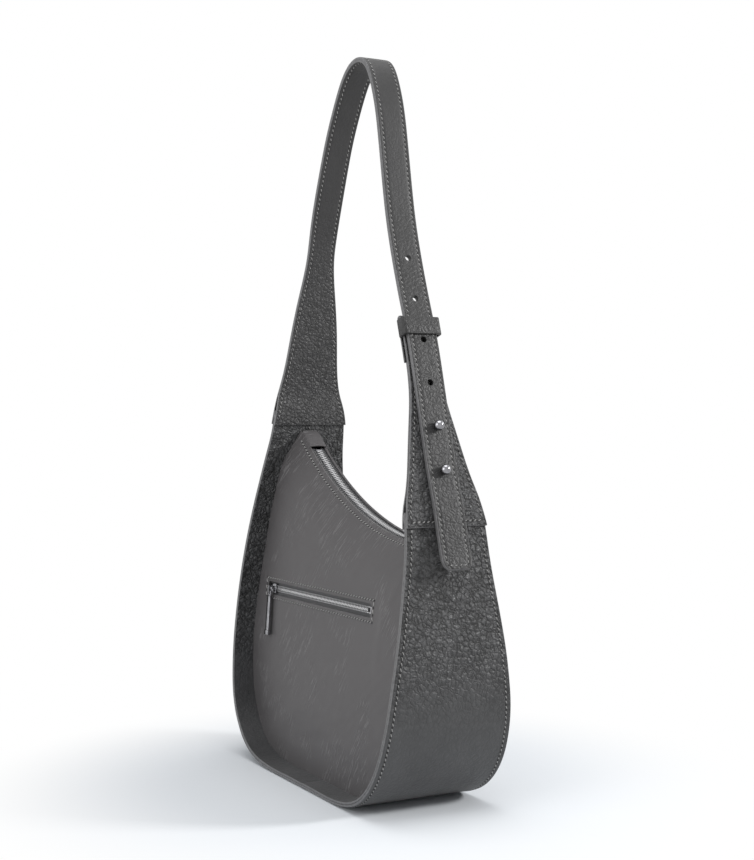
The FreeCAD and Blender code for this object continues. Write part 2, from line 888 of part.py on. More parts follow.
# the lining's own gusset runs from one end of the zip round the bottom to the other
lining_gusset = new_body("lining_gusset")
lining_gusset.Placement = arc_place
left_end = left_gusset_end - 12.0
right_end = right_gusset_end - 22.0
pieces = []
for faces, end in ((left_faces, left_end), (right_faces, right_end)):
    near = relative(trimmed(faces["lining_outside"], 0, end))
    far = relative(trimmed(faces["lining_inside"], 0, end))
    pieces += [near, far, segment(near.EndPoint, far.EndPoint)]
lining_band = new_sketch(lining_gusset, "lining_gusset_outline", "XZ_Plane", pieces)
pad(lining_gusset, "lining_gusset_band", lining_band, "Sizes.gusset_depth")
for side, word in ((-1, "front"), (1, "back")):
    edge = section_curve(lining_section, side)
    far_out = side * 2 * half_depth
    beyond = [
        edge,
        segment(edge.EndPoint, flat(far_out, edge.EndPoint.y)),
        segment(flat(far_out, edge.EndPoint.y), flat(far_out, -radius + BELOW)),
        segment(flat(far_out, -radius + BELOW), flat(edge.StartPoint.x, -radius + BELOW)),
        segment(flat(edge.StartPoint.x, -radius + BELOW), edge.StartPoint),
    ]
    cut_sketch = new_sketch(lining_gusset, "lining_gusset_%s_region" % word, "YZ_Plane", beyond)
    turned(lining_gusset, "lining_gusset_%s_edge" % word, cut_sketch, SWEEP, "Y_Axis", groove=True)


# ---------------------------------------------------------------- main zip

tape_drop = size("panel_leather") + 0.3
tape_inner = size("cord_width") + 1.9
chain_middle = radius + tape_drop + size("tape_thickness") / 2
tooth_count = int((zip_to - zip_from) * radius / size("tooth_pitch"))
tooth_step = size("tooth_pitch") / radius
run_out = size("slider_length") / radius


# a strip lying across the zip between two distances from the middle
def zip_strip(body, name, side, near, far, low, high, first, last):
    sketch = new_sketch(
        body, name + "_outline", "XZ_Plane", ring_sector(low, high, first, last), offset=-side * near
    )
    feature = body.newObject("PartDesign::Pad", name)
    feature.Profile = sketch
    feature.Reversed = side > 0
    feature.Length = far - near
    return feature


def zip_row(side, word):
    tape = new_body("main_zip_tape_" + word)
    tape.Placement = arc_place
    top = radius + tape_drop
    ends = (zip_from - size("stop_length") * 2 / radius, zip_to + run_out + size("stop_length") * 2 / radius)
    zip_strip(
        tape, "tape_" + word, side, tape_inner, tape_inner + size("tape_width"),
        top, top + size("tape_thickness"), *ends
    )

    row = new_body("main_zip_teeth_" + word)
    row.Placement = arc_place
    half_cord = size("cord_height") / 2
    zip_strip(
        row, "cord_" + word, side, 1.9, tape_inner,
        chain_middle - half_cord, chain_middle + half_cord, zip_from, zip_to + run_out
    )
    first = zip_from + tooth_step * (0.25 if side < 0 else 0.75)
    half_tooth = size("tooth_length") / 2 / radius
    half_height = size("tooth_height") / 2
    tooth = zip_strip(
        row, "tooth_" + word, side, -size("tooth_reach"), tape_inner,
        chain_middle - half_height, chain_middle + half_height, first - half_tooth, first + half_tooth
    )
    many = row.newObject("PartDesign::PolarPattern", "teeth_" + word)
    many.Originals = [tooth]
    many.Axis = (origin_part(row, "Y_Axis"), [""])
    many.Reversed = True
    many.Angle = math.degrees(tooth_step * (tooth_count - 1))
    many.Occurrences = tooth_count
    row.Tip = many


zip_row(-1, "front")
zip_row(1, "back")

# a stop on each cord past the slider, and one across both cords at the far end
stops = new_body("main_zip_stops")
stops.Placement = arc_place
half_stop = size("tooth_height") / 2
stop_angle = size("stop_length") / radius
stop_specs = [
    ("front", -1, 1.3, tape_inner, zip_to + run_out, zip_to + run_out + stop_angle),
    ("back", 1, 1.3, tape_inner, zip_to + run_out, zip_to + run_out + stop_angle),
]
end_stop = new_sketch(
    stops,
    "end_stop_outline",
    "XZ_Plane",
    ring_sector(chain_middle - half_stop, chain_middle + half_stop, zip_from - stop_angle, zip_from),
)
end_pad = stops.newObject("PartDesign::Pad", "end_stop")
end_pad.Profile = end_stop
end_pad.Midplane = True
end_pad.Length = 2 * tape_inner
stops.AllowCompound = True
for word, side, near, far, first, last in stop_specs:
    zip_strip(
        stops, "stop_" + word, side, near, far,
        chain_middle - half_stop, chain_middle + half_stop, first, last
    )


# ---------------------------------------------------------------- sliders and pulls


# a box given by its lowest corner and its edge lengths, as expressions on the sheet
def block(name, corner, edges):
    box = doc.addObject("Part::Box", name)
    bind(box, Length=edges[0], Width=edges[1], Height=edges[2])
    for axis, expression in zip("xyz", corner):
        box.setExpression("Placement.Base." + axis, expression)
    return box


def fused(label, shapes, placement):
    whole = doc.addObject("Part::MultiFuse", label)
    whole.Label = label
    whole.Shapes = shapes
    whole.Placement = placement
    return whole


# The slider's own X runs along the zip towards its closed end, its Z out of the zip
# and its origin is the middle of the chain.  It is two plates with turned-in flanges
# joined by a bridge ahead of the teeth, and a crown over the upper plate.
CHANNEL = "(Sizes.tooth_height / 2 + Sizes.running_gap)"
FLANGE = "(Sizes.tape_thickness / 2 + Sizes.running_gap)"


def slider(label, placement):
    tag = label + "_"
    rail = "0.8"
    length = "Sizes.slider_length"
    back = "-Sizes.slider_length + 1.5"
    side = "Sizes.slider_width / 2"
    deep = CHANNEL + " - " + FLANGE
    parts = [
        block(tag + "upper_plate", (back, "-" + side, CHANNEL), (length, "Sizes.slider_width", "Sizes.plate_thickness")),
        block(
            tag + "lower_plate",
            (back, "-" + side, "-" + CHANNEL + " - Sizes.plate_thickness"),
            (length, "Sizes.slider_width", "Sizes.plate_thickness"),
        ),
        block(
            tag + "bridge",
            ("-0.5", "-0.7", "-" + CHANNEL),
            ("1.8", "1.4", "2 * " + CHANNEL),
        ),
    ]
    for word, start in (("front", "-" + side), ("back", side + " - " + rail)):
        parts.append(block(tag + word + "_upper_flange", (back, start, FLANGE), (length, rail, deep)))
        parts.append(
            block(tag + word + "_lower_flange", (back, start, "-" + CHANNEL), (length, rail, deep))
        )
    top = CHANNEL + " + Sizes.plate_thickness"
    crown_rise = "Sizes.crown_window + Sizes.crown_bar"
    crown_width = "1.8"
    parts += [
        block(tag + "crown_near", (back + " + 0.8", "-0.9", top), ("1.4", crown_width, crown_rise)),
        block(tag + "crown_far", ("-0.7", "-0.9", top), ("1.4", crown_width, crown_rise)),
        block(
            tag + "crown_bar",
            (back + " + 0.8", "-0.9", top + " + Sizes.crown_window"),
            ("Sizes.slider_length - 1.6", crown_width, "Sizes.crown_bar"),
        ),
    ]
    return fused(label, parts, placement)


def polar_place(distance, angle):
    point = polar(distance, angle) + arc_centre
    turn = FreeCAD.Rotation(Vector(0, 1, 0), -math.degrees(angle))
    return FreeCAD.Placement(Vector(point.x, 0, point.y), turn)


slider_at = zip_to + 1.2 / radius
main_slider_place = polar_place(chain_middle, slider_at)
slider("main_zip_slider", main_slider_place)

# the crown's window is halfway between its feet, above the upper plate
crown_middle_x = 1.5 + 0.35 - size("slider_length") / 2
plate_top = size("tooth_height") / 2 + size("running_gap") + size("plate_thickness")


# The main pull lies along the zip: its end wire passes under the crown and its two
# rails go past the crown's foot to the bar, which clears the rising teeth.
PULL_RAISE = 4.5


def main_pull():
    wire = 1.2
    reach = size("slider_length") / 2 + 1.6
    rail_y = 1.5
    raised = FreeCAD.Rotation(Vector(0, 1, 0), PULL_RAISE)
    pivot = Vector(crown_middle_x, 0, plate_top + size("crown_window") / 2)
    place = main_slider_place.multiply(FreeCAD.Placement(pivot, raised))
    parts = [
        block(
            "main_pull_wire",
            ("%f" % (-wire / 2), "%f" % -(rail_y + wire), "%f" % (-wire / 2)),
            ("%f" % wire, "%f" % (2 * (rail_y + wire)), "%f" % wire),
        ),
    ]
    for word, start in (("front", -(rail_y + wire)), ("back", rail_y)):
        parts.append(
            block(
                "main_pull_rail_" + word,
                ("%f" % -reach, "%f" % start, "%f" % (-wire / 2)),
                ("%f" % (reach + wire / 2), "%f" % wire, "%f" % wire),
            )
        )
    parts.append(
        block(
            "main_pull_bar",
            ("%f - Sizes.pull_length" % -reach, "-Sizes.pull_width / 2", "%f" % (-wire / 2)),
            ("Sizes.pull_length + 0.5", "Sizes.pull_width", "Sizes.pull_thickness"),
        )
    )
    return fused("main_zip_pull", parts, place)


main_pull()

# ---------------------------------------------------------------- front pocket

slot_middle = flat(size("slot_shift"), 0)
slot_radius_x = slot_middle.x - arc_centre.x
slot_z = arc_centre.y - math.sqrt((radius + size("slot_drop") + 10.0) ** 2 - slot_radius_x**2)
front_inner = section_curve(panel_section, -1, size("panel_leather"))


# Y of the front panel's inner face below the curved edge
def inner_face_y(x, z):
    distance = math.hypot(x - arc_centre.x, z - arc_centre.y)
    low, high = 0.0, front_inner.LastParameter
    for _ in range(60):
        middle = (low + high) / 2
        if -front_inner.value(middle).y < distance:
            low = middle
        else:
            high = middle
    return front_inner.value(low).x


half_slot = size("slot_length") / 2
slot_left = size("slot_shift") - half_slot
slot_right = size("slot_shift") + half_slot
y_left = inner_face_y(slot_left, slot_z)
y_right = inner_face_y(slot_right, slot_z)
y_above = inner_face_y(size("slot_shift"), slot_z + 12.0)
y_below = inner_face_y(size("slot_shift"), slot_z - 12.0)
yaw = math.atan2(y_right - y_left, slot_right - slot_left)
lean = math.atan2(y_below - y_above, 24.0)

# local X along the slot, local Y up the panel and local Z out towards the front
along_slot = Vector(math.cos(yaw), math.sin(yaw), 0)
rough_up = Vector(0, -math.sin(lean), math.cos(lean))
out_of_panel = along_slot.cross(rough_up).normalize()
up_panel = out_of_panel.cross(along_slot).normalize()
deepest = max(
    inner_face_y(x, slot_z + rise) - ((x - size("slot_shift")) * math.tan(yaw) - rise * math.tan(lean))
    for x in (slot_left, size("slot_shift"), slot_right)
    for rise in (-12.0, 0.0, 12.0)
)
TAPE_CLEARANCE = 0.25
slot_base = Vector(size("slot_shift"), deepest + TAPE_CLEARANCE, slot_z)
pocket_place = FreeCAD.Placement(
    FreeCAD.Matrix(
        along_slot.x, up_panel.x, out_of_panel.x, slot_base.x,
        along_slot.y, up_panel.y, out_of_panel.y, slot_base.y,
        along_slot.z, up_panel.z, out_of_panel.z, slot_base.z,
        0, 0, 0, 1,
    )
)

# the slot is cut through the front panel with rounded ends
slot_sketch = new_sketch(front_panel, "front_panel_slot_shape", "XZ_Plane", [])
for piece in rounded_loop(
    slot_left - arc_centre.x, slot_right - arc_centre.x, size("slot_height") / 2, 2.0
):
    piece.translate(flat(0, slot_z - arc_centre.y))
    slot_sketch.addGeometry(piece, False)
pocket(front_panel, "front_panel_slot", slot_sketch, both_ways=False, backward=True)

pocket_zip_half = half_slot + 6.0
stop_inset = size("stop_length") + 1.0
pocket_tooth_count = int((size("slot_length") - 13.0) / size("tooth_pitch"))
pocket_teeth_start = -half_slot + stop_inset + 3.0
pocket_tape_middle = -size("tape_thickness") / 2


def pocket_row(side, word):
    tape = new_body("pocket_zip_tape_" + word)
    tape.Placement = pocket_place
    near = tape_inner
    far = tape_inner + size("tape_width") + 3.0
    low, high = min(side * near, side * far), max(side * near, side * far)
    sketch = new_sketch(
        tape, "pocket_tape_%s_outline" % word, "XY_Plane",
        rectangle(-pocket_zip_half, pocket_zip_half, low, high)
    )
    pad(
        tape, "pocket_tape_" + word, sketch, "Sizes.tape_thickness", both_ways=False, backward=True
    )

    row = new_body("pocket_zip_teeth_" + word)
    row.Placement = pocket_place
    low, high = min(side * 1.9, side * near), max(side * 1.9, side * near)
    cord_sketch = new_sketch(
        row,
        "pocket_cord_%s_outline" % word,
        "XY_Plane",
        rectangle(-half_slot + stop_inset, half_slot - stop_inset, low, high),
        offset=pocket_tape_middle,
    )
    pad(row, "pocket_cord_" + word, cord_sketch, "Sizes.cord_height")
    phase = size("tooth_pitch") * (0.25 if side < 0 else 0.75)
    start = pocket_teeth_start + phase
    half_tooth = size("tooth_length") / 2
    ends = sorted((-side * size("tooth_reach"), side * near))
    tooth_sketch = new_sketch(
        row,
        "pocket_tooth_%s_outline" % word,
        "XY_Plane",
        rectangle(start - half_tooth, start + half_tooth, ends[0], ends[1]),
        offset=pocket_tape_middle,
    )
    tooth = pad(row, "pocket_tooth_" + word, tooth_sketch, "Sizes.tooth_height")
    many = row.newObject("PartDesign::LinearPattern", "pocket_teeth_" + word)
    many.Originals = [tooth]
    many.Direction = (origin_part(row, "X_Axis"), [""])
    many.Length = size("tooth_pitch") * (pocket_tooth_count - 1)
    many.Occurrences = pocket_tooth_count
    row.Tip = many


pocket_row(-1, "lower")
pocket_row(1, "upper")

# a stop on each cord at the closed end and one across both cords at the other
pocket_stops = new_body("pocket_zip_stops")
pocket_stops.Placement = pocket_place
pocket_stops.AllowCompound = True
stop_half = size("tooth_height") / 2
across = new_sketch(
    pocket_stops,
    "pocket_end_stop_outline",
    "XY_Plane",
    rectangle(half_slot - stop_inset, half_slot - 1.0, -tape_inner, tape_inner),
    offset=pocket_tape_middle,
)
pad(pocket_stops, "pocket_end_stop", across, "Sizes.tooth_height")
for side, word in ((-1, "lower"), (1, "upper")):
    low, high = min(side * 1.3, side * tape_inner), max(side * 1.3, side * tape_inner)
    sketch = new_sketch(
        pocket_stops,
        "pocket_stop_%s_outline" % word,
        "XY_Plane",
        rectangle(1.0 - half_slot, stop_inset - half_slot, low, high),
        offset=pocket_tape_middle,
    )
    pad(pocket_stops, "pocket_stop_" + word, sketch, "Sizes.tooth_height")

# the slider's closed end is the left one, so it is turned round about the normal
turn_round = FreeCAD.Rotation(Vector(0, 0, 1), 180)
pocket_slider_x = pocket_teeth_start - 1.2
pocket_slider_place = pocket_place.multiply(
    FreeCAD.Placement(Vector(pocket_slider_x, 0, pocket_tape_middle), turn_round)
)
slider("pocket_zip_slider", pocket_slider_place)

# The bail is a small oblong ring round the crown's bar, and the bar of the pull
# hangs from it by an eye.  Both lean on the panel by the pull's foot.
crown_bar_height = plate_top + size("crown_window") + size("crown_bar") / 2
crown_on_slot = pocket_slider_x - crown_middle_x
bail_base = pocket_place.multVec(Vector(crown_on_slot, 0, pocket_tape_middle + crown_bar_height))
PULL_LEAN = 0.8
bail_place = FreeCAD.Placement(bail_base, pocket_place.Rotation).multiply(
    FreeCAD.Placement(Vector(0, 0, 0), FreeCAD.Rotation(Vector(1, 0, 0), PULL_LEAN))
)

WIRE = 1.0
RING_HALF = 2.0
RING_TOP = 2.15
RING_LOW = -4.65
bail = new_body("pocket_zip_bail")
bail.Placement = bail_place
ring = rounded_loop(RING_LOW, RING_TOP, RING_HALF, 1.4)
ring += rounded_loop(RING_LOW + WIRE, RING_TOP - WIRE, RING_HALF - WIRE, 0.6)
ring_sketch = new_sketch(bail, "pocket_bail_outline", "YZ_Plane", ring)
ring_pad = bail.newObject("PartDesign::Pad", "pocket_bail_ring")
ring_pad.Profile = ring_sketch
ring_pad.Length = WIRE
ring_pad.Midplane = True

# the pull's eye goes round the ring's lower wire
EYE_TOP = 1.7
EYE_LOW = -3.2
wire_middle = RING_LOW + WIRE / 2
pull_place = bail_place.multiply(FreeCAD.Placement(Vector(0, wire_middle, 0), FreeCAD.Rotation()))
eye_plate = block(
    "pocket_pull_eye_plate",
    ("-Sizes.pull_width / 2 + 0.4", "%f" % EYE_LOW, "-0.6"),
    ("Sizes.pull_width - 0.8", "%f" % (EYE_TOP - EYE_LOW), "1.2"),
)
eye_hole = block("pocket_pull_eye_hole", ("-1.1", "-1.2", "-3"), ("2.2", "2.1", "6"))
eye = doc.addObject("Part::Cut", "pocket_pull_eye")
eye.Base = eye_plate
eye.Tool = eye_hole
pull_bar = block(
    "pocket_pull_bar",
    ("-Sizes.pull_width / 2", "%f - Sizes.pull_length" % EYE_LOW, "-Sizes.pull_thickness / 2"),
    ("Sizes.pull_width", "Sizes.pull_length + 0.5", "Sizes.pull_thickness"),
)
pull_foot = block(
    "pocket_pull_foot",
    (
        "-Sizes.pull_width / 2 - 0.5",
        "%f - Sizes.pull_length - 3.5" % EYE_LOW,
        "-Sizes.pull_thickness / 2 - 0.5",
    ),
    ("Sizes.pull_width + 1", "4", "Sizes.pull_thickness + 1"),
)
fused("pocket_zip_pull", [eye, pull_bar, pull_foot], pull_place)

# The pocket bag is two sheets: the front one hangs from the lower tape, the back one
# from the upper tape, and they meet at the bottom.
SHEET = 0.4
bag_half = half_slot + 5.0
tape_far = tape_inner + size("tape_width") + 3.0
behind_slider = plate_top + size("tape_thickness") / 2 + 0.5
bag_low = -size("pocket_depth")
tape_back = -size("tape_thickness")


def sheet_body(label, centre_line):
    body = new_body(label)
    body.Placement = pocket_place
    inner = [point - Vector(0, SHEET, 0) for point in centre_line]
    outline = polygon(centre_line + inner[::-1])
    sketch = new_sketch(body, label + "_section", "YZ_Plane", outline)
    across = body.newObject("PartDesign::Pad", label + "_sheet")
    across.Profile = sketch
    across.Length = 2 * bag_half
    across.Midplane = True
    return body


BAG_INSET = 3.2
sheet_body("pocket_bag_front", [
    flat(tape_far * -1 + 4.0, tape_back),
    flat(-2 * tape_far, tape_back - 0.2),
    flat(bag_low, tape_back - BAG_INSET),
])
sheet_body("pocket_bag_back", [
    flat(tape_far, tape_back),
    flat(tape_far - 3.0, tape_back),
    flat(size("slider_width") / 2 + 0.6, -behind_slider),
    flat(bag_low + 16.0, -behind_slider),
    flat(bag_low + 5.0, tape_back - BAG_INSET - SHEET),
    flat(bag_low, tape_back - BAG_INSET - SHEET),
])


# ---------------------------------------------------------------- check and write

doc.recompute()

NODES = [
    "front_panel", "back_panel", "gusset_left", "gusset_left_facing", "gusset_right",
    "gusset_right_facing", "strap_outer", "strap_inner", "tab_outer", "tab_inner", "keeper",
    "stud_lower", "stud_upper", "stud_screws", "lining_front", "lining_back", "lining_gusset",
    "main_zip_tape_front", "main_zip_tape_back", "main_zip_teeth_front", "main_zip_teeth_back",
    "main_zip_stops", "main_zip_slider", "main_zip_pull", "pocket_zip_tape_lower",
    "pocket_zip_tape_upper", "pocket_zip_teeth_lower", "pocket_zip_teeth_upper",
    "pocket_zip_stops", "pocket_zip_slider", "pocket_zip_bail", "pocket_zip_pull",
    "pocket_bag_front", "pocket_bag_back",
]

for item in doc.Objects:
    if "Invalid" in item.State or "Error" in item.State:
        raise RuntimeError("%s: %s" % (item.Label, item.State))

os.makedirs("parts", exist_ok=True)
for label in NODES:
    found = doc.getObjectsByLabel(label)
    shape = found[0].Shape
    if shape.isNull() or not shape.isValid() or shape.Volume <= 0:
        raise RuntimeError("bad shape: " + label)
    shape.exportStep(os.path.join("parts", label + ".step"))
    box = shape.BoundBox
    print("%-24s solids %d  volume %9.1f  x %7.1f %7.1f  y %6.1f %6.1f  z %6.1f %6.1f" % (
        label, len(shape.Solids), shape.Volume,
        box.XMin, box.XMax, box.YMin, box.YMax, box.ZMin, box.ZMax,
    ))
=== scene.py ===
import json
import math

import bmesh
import bpy
from mathutils import Matrix, Vector, noise
from mathutils.bvhtree import BVHTree
from mathutils.kdtree import KDTree


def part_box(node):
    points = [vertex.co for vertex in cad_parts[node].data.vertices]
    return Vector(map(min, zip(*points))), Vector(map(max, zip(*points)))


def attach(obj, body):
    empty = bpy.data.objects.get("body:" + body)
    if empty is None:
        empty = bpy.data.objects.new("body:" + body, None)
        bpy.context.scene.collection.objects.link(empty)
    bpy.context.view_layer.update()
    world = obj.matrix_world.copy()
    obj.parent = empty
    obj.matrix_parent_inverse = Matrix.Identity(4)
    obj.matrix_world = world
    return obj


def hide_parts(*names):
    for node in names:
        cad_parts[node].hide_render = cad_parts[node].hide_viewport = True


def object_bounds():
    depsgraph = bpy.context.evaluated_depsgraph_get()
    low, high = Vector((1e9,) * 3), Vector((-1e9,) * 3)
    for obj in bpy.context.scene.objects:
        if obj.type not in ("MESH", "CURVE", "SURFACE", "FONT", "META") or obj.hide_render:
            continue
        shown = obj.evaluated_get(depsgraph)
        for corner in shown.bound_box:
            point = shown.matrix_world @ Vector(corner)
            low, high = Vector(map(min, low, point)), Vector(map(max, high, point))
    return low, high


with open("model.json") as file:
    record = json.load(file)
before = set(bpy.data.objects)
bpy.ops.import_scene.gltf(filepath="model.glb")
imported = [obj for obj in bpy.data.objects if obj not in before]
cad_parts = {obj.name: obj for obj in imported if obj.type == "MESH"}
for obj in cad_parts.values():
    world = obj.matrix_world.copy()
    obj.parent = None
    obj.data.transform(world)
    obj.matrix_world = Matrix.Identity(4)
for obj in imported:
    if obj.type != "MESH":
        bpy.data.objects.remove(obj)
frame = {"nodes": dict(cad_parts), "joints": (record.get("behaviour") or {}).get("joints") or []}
cadBox = [list(corner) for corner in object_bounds()]
mm = 0.001
print("frame loaded:", len(frame["nodes"]), "nodes")


# ---- shader maths: a socket that can be added, multiplied and compared

class Wire:
    def __init__(self, finish, socket):
        self.finish = finish
        self.socket = socket

    def maths(self, operation, *others, swap=False):
        values = (others[0], self) + others[1:] if swap else (self,) + others
        return self.finish.node("ShaderNodeMath", {"operation": operation}, dict(enumerate(values)))

    def __add__(self, other): return self.maths("ADD", other)
    def __radd__(self, other): return self.maths("ADD", other)
    def __sub__(self, other): return self.maths("SUBTRACT", other)
    def __rsub__(self, other): return self.maths("SUBTRACT", other, swap=True)
    def __mul__(self, other): return self.maths("MULTIPLY", other)
    def __rmul__(self, other): return self.maths("MULTIPLY", other)
    def __truediv__(self, other): return self.maths("DIVIDE", other)
    def __pow__(self, other): return self.maths("POWER", other)

    def clamped(self):
        return self.maths("MINIMUM", 1.0).maths("MAXIMUM", 0.0)

    def ranged(self, low, high):  # 0 at low, 1 at high, eased between
        return self.finish.node(
            "ShaderNodeMapRange", {"interpolation_type": "SMOOTHSTEP"}, {0: self, 1: low, 2: high}
        )


class Finish:
    def __init__(self, name):
        self.material = bpy.data.materials.new(name)
        self.material.use_nodes = True
        self.tree = self.material.node_tree
        self.shader = self.tree.nodes["Principled BSDF"]
        self.place = self.node("ShaderNodeTexCoord", output="Object")

    def node(self, kind, settings=None, values=None, output=0):
        made = self.tree.nodes.new(kind)
        for key, value in (settings or {}).items():
            setattr(made, key, value)
        for key, value in (values or {}).items():
            self.feed(made.inputs[key], value)
        return Wire(self, made.outputs[output])

    def feed(self, socket, value):
        if isinstance(value, Wire):
            self.tree.links.new(value.socket, socket)
        elif getattr(socket, "type", "") == "RGBA" and len(value) == 3:
            socket.default_value = (*value, 1.0)
        else:
            socket.default_value = value

    def shade(self, **values):
        for key, value in values.items():
            self.feed(self.shader.inputs[socketNames[key]], value)
        return self

    def mixed(self, share, first, second):
        return self.node("ShaderNodeMix", {"data_type": "RGBA"}, {0: share, 6: first, 7: second}, 2)

    def noiseAt(self, scale, detail=3.0, rough=0.55, place=None, output=0):
        return self.node(
            "ShaderNodeTexNoise", {},
            {"Vector": place or self.place, "Scale": scale, "Detail": detail, "Roughness": rough}, output,
        )

    def bumped(self, height, strength, distance, normal=None):
        values = {"Strength": strength, "Distance": distance, "Height": height}
        if normal:
            values["Normal"] = normal
        return self.node("ShaderNodeBump", {}, values)

    # object coordinates turned about Y and measured in patches of this size
    def turned(self, size, degrees):
        return self.node("ShaderNodeMapping", {"vector_type": "TEXTURE"},
                         {"Vector": self.place, "Rotation": (0, math.radians(degrees), 0), "Scale": size})


socketNames = {
    "color": "Base Color", "rough": "Roughness", "metal": "Metallic", "normal": "Normal",
    "sheen": "Sheen Weight", "sheenRough": "Sheen Roughness", "specular": "Specular IOR Level",
}


creaseTurn = -58.0
grainTurn = -38.0

leatherFinishes = {
    # pebbles: grains per metre; grain: how strong it is; rises: heights over which it comes in;
    # creasesAndHighlight: fine folds, with a painted highlight along them; depth: how deep the grain is cut
    "smooth": {
        "dark": (0.036, 0.0332, 0.0342), "light": (0.070, 0.0648, 0.0665), "pebbles": 1200.0, "grain": 0.10,
        "rises": (0.0, 0.01), "rough": 0.44, "sheen": 0.12, "creasesAndHighlight": 0.9, "depth": 0.35,
    },
    "pebbled": {
        "dark": (0.008, 0.008, 0.0083), "light": (0.078, 0.078, 0.080), "pebbles": 235.0, "grain": 1.3,
        "rises": (0.055, 0.15), "rough": 0.40, "sheen": 0.08, "creasesAndHighlight": 0.0, "depth": 1.9,
    },
    "strap": {
        "dark": (0.007, 0.0068, 0.007), "light": (0.036, 0.035, 0.036), "pebbles": 265.0, "grain": 1.1,
        "rises": (0.50, 0.33), "rough": 0.42, "sheen": 0.06, "creasesAndHighlight": 0.0, "depth": 1.3,
    },
}


def leather(name, sizes):
    finish = Finish(name)
    warp = finish.noiseAt(sizes["pebbles"] * 1.1, 1.5, output="Color")
    bent = finish.node("ShaderNodeVectorMath", {"operation": "MULTIPLY_ADD"},
                       {0: warp, 1: (0.0030, 0.0030, 0.0030), 2: finish.place})
    cells = finish.node("ShaderNodeTexVoronoi", {"feature": "DISTANCE_TO_EDGE"},
                        {"Vector": bent, "Scale": sizes["pebbles"], "Randomness": 1.0})
    small = finish.node("ShaderNodeTexVoronoi", {"feature": "DISTANCE_TO_EDGE"},
                        {"Vector": bent, "Scale": sizes["pebbles"] * 2.3, "Randomness": 1.0})
    # soft folds that lean up to the right run through the grain
    folds = finish.noiseAt(1.0, 3.0, 0.6, finish.turned((0.012, 0.008, 0.0046), grainTurn))
    pebble = (cells * 3.4).clamped() ** 0.8 * 0.48 + (small * 3.0).clamped() * 0.14
    pebble = pebble + folds.ranged(0.36, 0.64) * 0.38
    high = finish.node("ShaderNodeSeparateXYZ", {}, {0: finish.place}, 2)
    start, stop = sizes["rises"]
    zone = high.ranged(start, stop) if stop > start else 1 - high.ranged(stop, start)
    if stop < start:  # the strap's right leg is smoother than its left base, and its colour is darkened there as painted shade
        across = finish.node("ShaderNodeSeparateXYZ", {}, {0: finish.place}, 0).ranged(-0.02, 0.03)
        zone = zone * (1 - across * 0.72)
    grain = (zone * 0.88 + 0.12) * sizes["grain"]
    patches = finish.noiseAt(30.0, 3.0)
    broad = finish.noiseAt(9.0, 2.0)
    pores = finish.noiseAt(2400.0, 2.0)
    shade = patches * 0.45 + broad * 0.5 + 0.02 + (pebble - 0.62) * grain * 0.85 + (pores - 0.5) * 0.12
    # painted shade: the strap's right leg is painted darker, standing in for shade
    if stop < start:
        shade = shade - across * 0.34
    height = pebble * grain + pores * 0.06 + patches * 0.3
    if sizes["creasesAndHighlight"]:
        # short fine strokes that run up to the right, in patches: raised as fine creases in the bump and
        # painted lighter as a painted highlight
        lines = finish.noiseAt(1.0, 2.0, 0.5, finish.turned((0.013, 0.013, 0.0013), creaseTurn))
        where = finish.noiseAt(26.0, 2.0, place=finish.turned((1.0, 1.0, 1.0), 0.0)).ranged(0.47, 0.60)
        creaseAndHighlight = lines.ranged(0.54, 0.66) * where * sizes["creasesAndHighlight"]
        height = height + creaseAndHighlight * 1.2
    color = finish.mixed(shade.clamped(), sizes["dark"], sizes["light"])
    # painted highlight: the crease strokes are mixed toward a pale grey
    if sizes["creasesAndHighlight"]:
        color = finish.mixed(creaseAndHighlight * 0.42, color, (0.19, 0.183, 0.185))
    rough = (sizes["rough"] + 0.10) - pebble * grain * 0.14 + (pores - 0.5) * 0.10 + (patches - 0.5) * 0.12
    return finish.shade(
        color=color, rough=rough, normal=finish.bumped(height, 0.85, sizes["depth"] * 0.0009),
        sheen=sizes["sheen"], sheenRough=0.5, specular=0.45,
    ).material


def plain(name, dark, light, rough, bump, scale, metal=0.0, **more):
    finish = Finish(name)
    cloud = finish.noiseAt(scale, 3.0)
    fine = finish.noiseAt(scale * 9, 2.0)
    color = finish.mixed((cloud * 0.7 + fine * 0.3).ranged(0.3, 0.7), dark, light)
    return finish.shade(
        color=color, rough=(fine - 0.5) * 0.25 + rough, metal=metal,
        normal=finish.bumped(cloud * 0.5 + fine * 0.5, 0.5, bump), **more,
    ).material


def woven(name, dark, light, pitch):
    finish = Finish(name)
    parts = finish.node("ShaderNodeSeparateXYZ", {}, {0: finish.place})
    across, deep, tall = (Wire(finish, parts.socket.node.outputs[k]) for k in range(3))
    turn = 2 * math.pi / pitch
    warp = ((across + tall) * turn).maths("SINE")
    weft = ((across - tall + deep * 1.4) * turn).maths("SINE")
    cloth = (warp * weft) * 0.5 + 0.5
    fuzz = finish.noiseAt(1800.0, 2.0)
    return finish.shade(
        color=finish.mixed((cloth * 0.7 + fuzz * 0.4).clamped(), dark, light),
        rough=0.9 - cloth * 0.15, sheen=0.3, normal=finish.bumped(cloth + fuzz * 0.3, 0.6, 0.0002),
    ).material


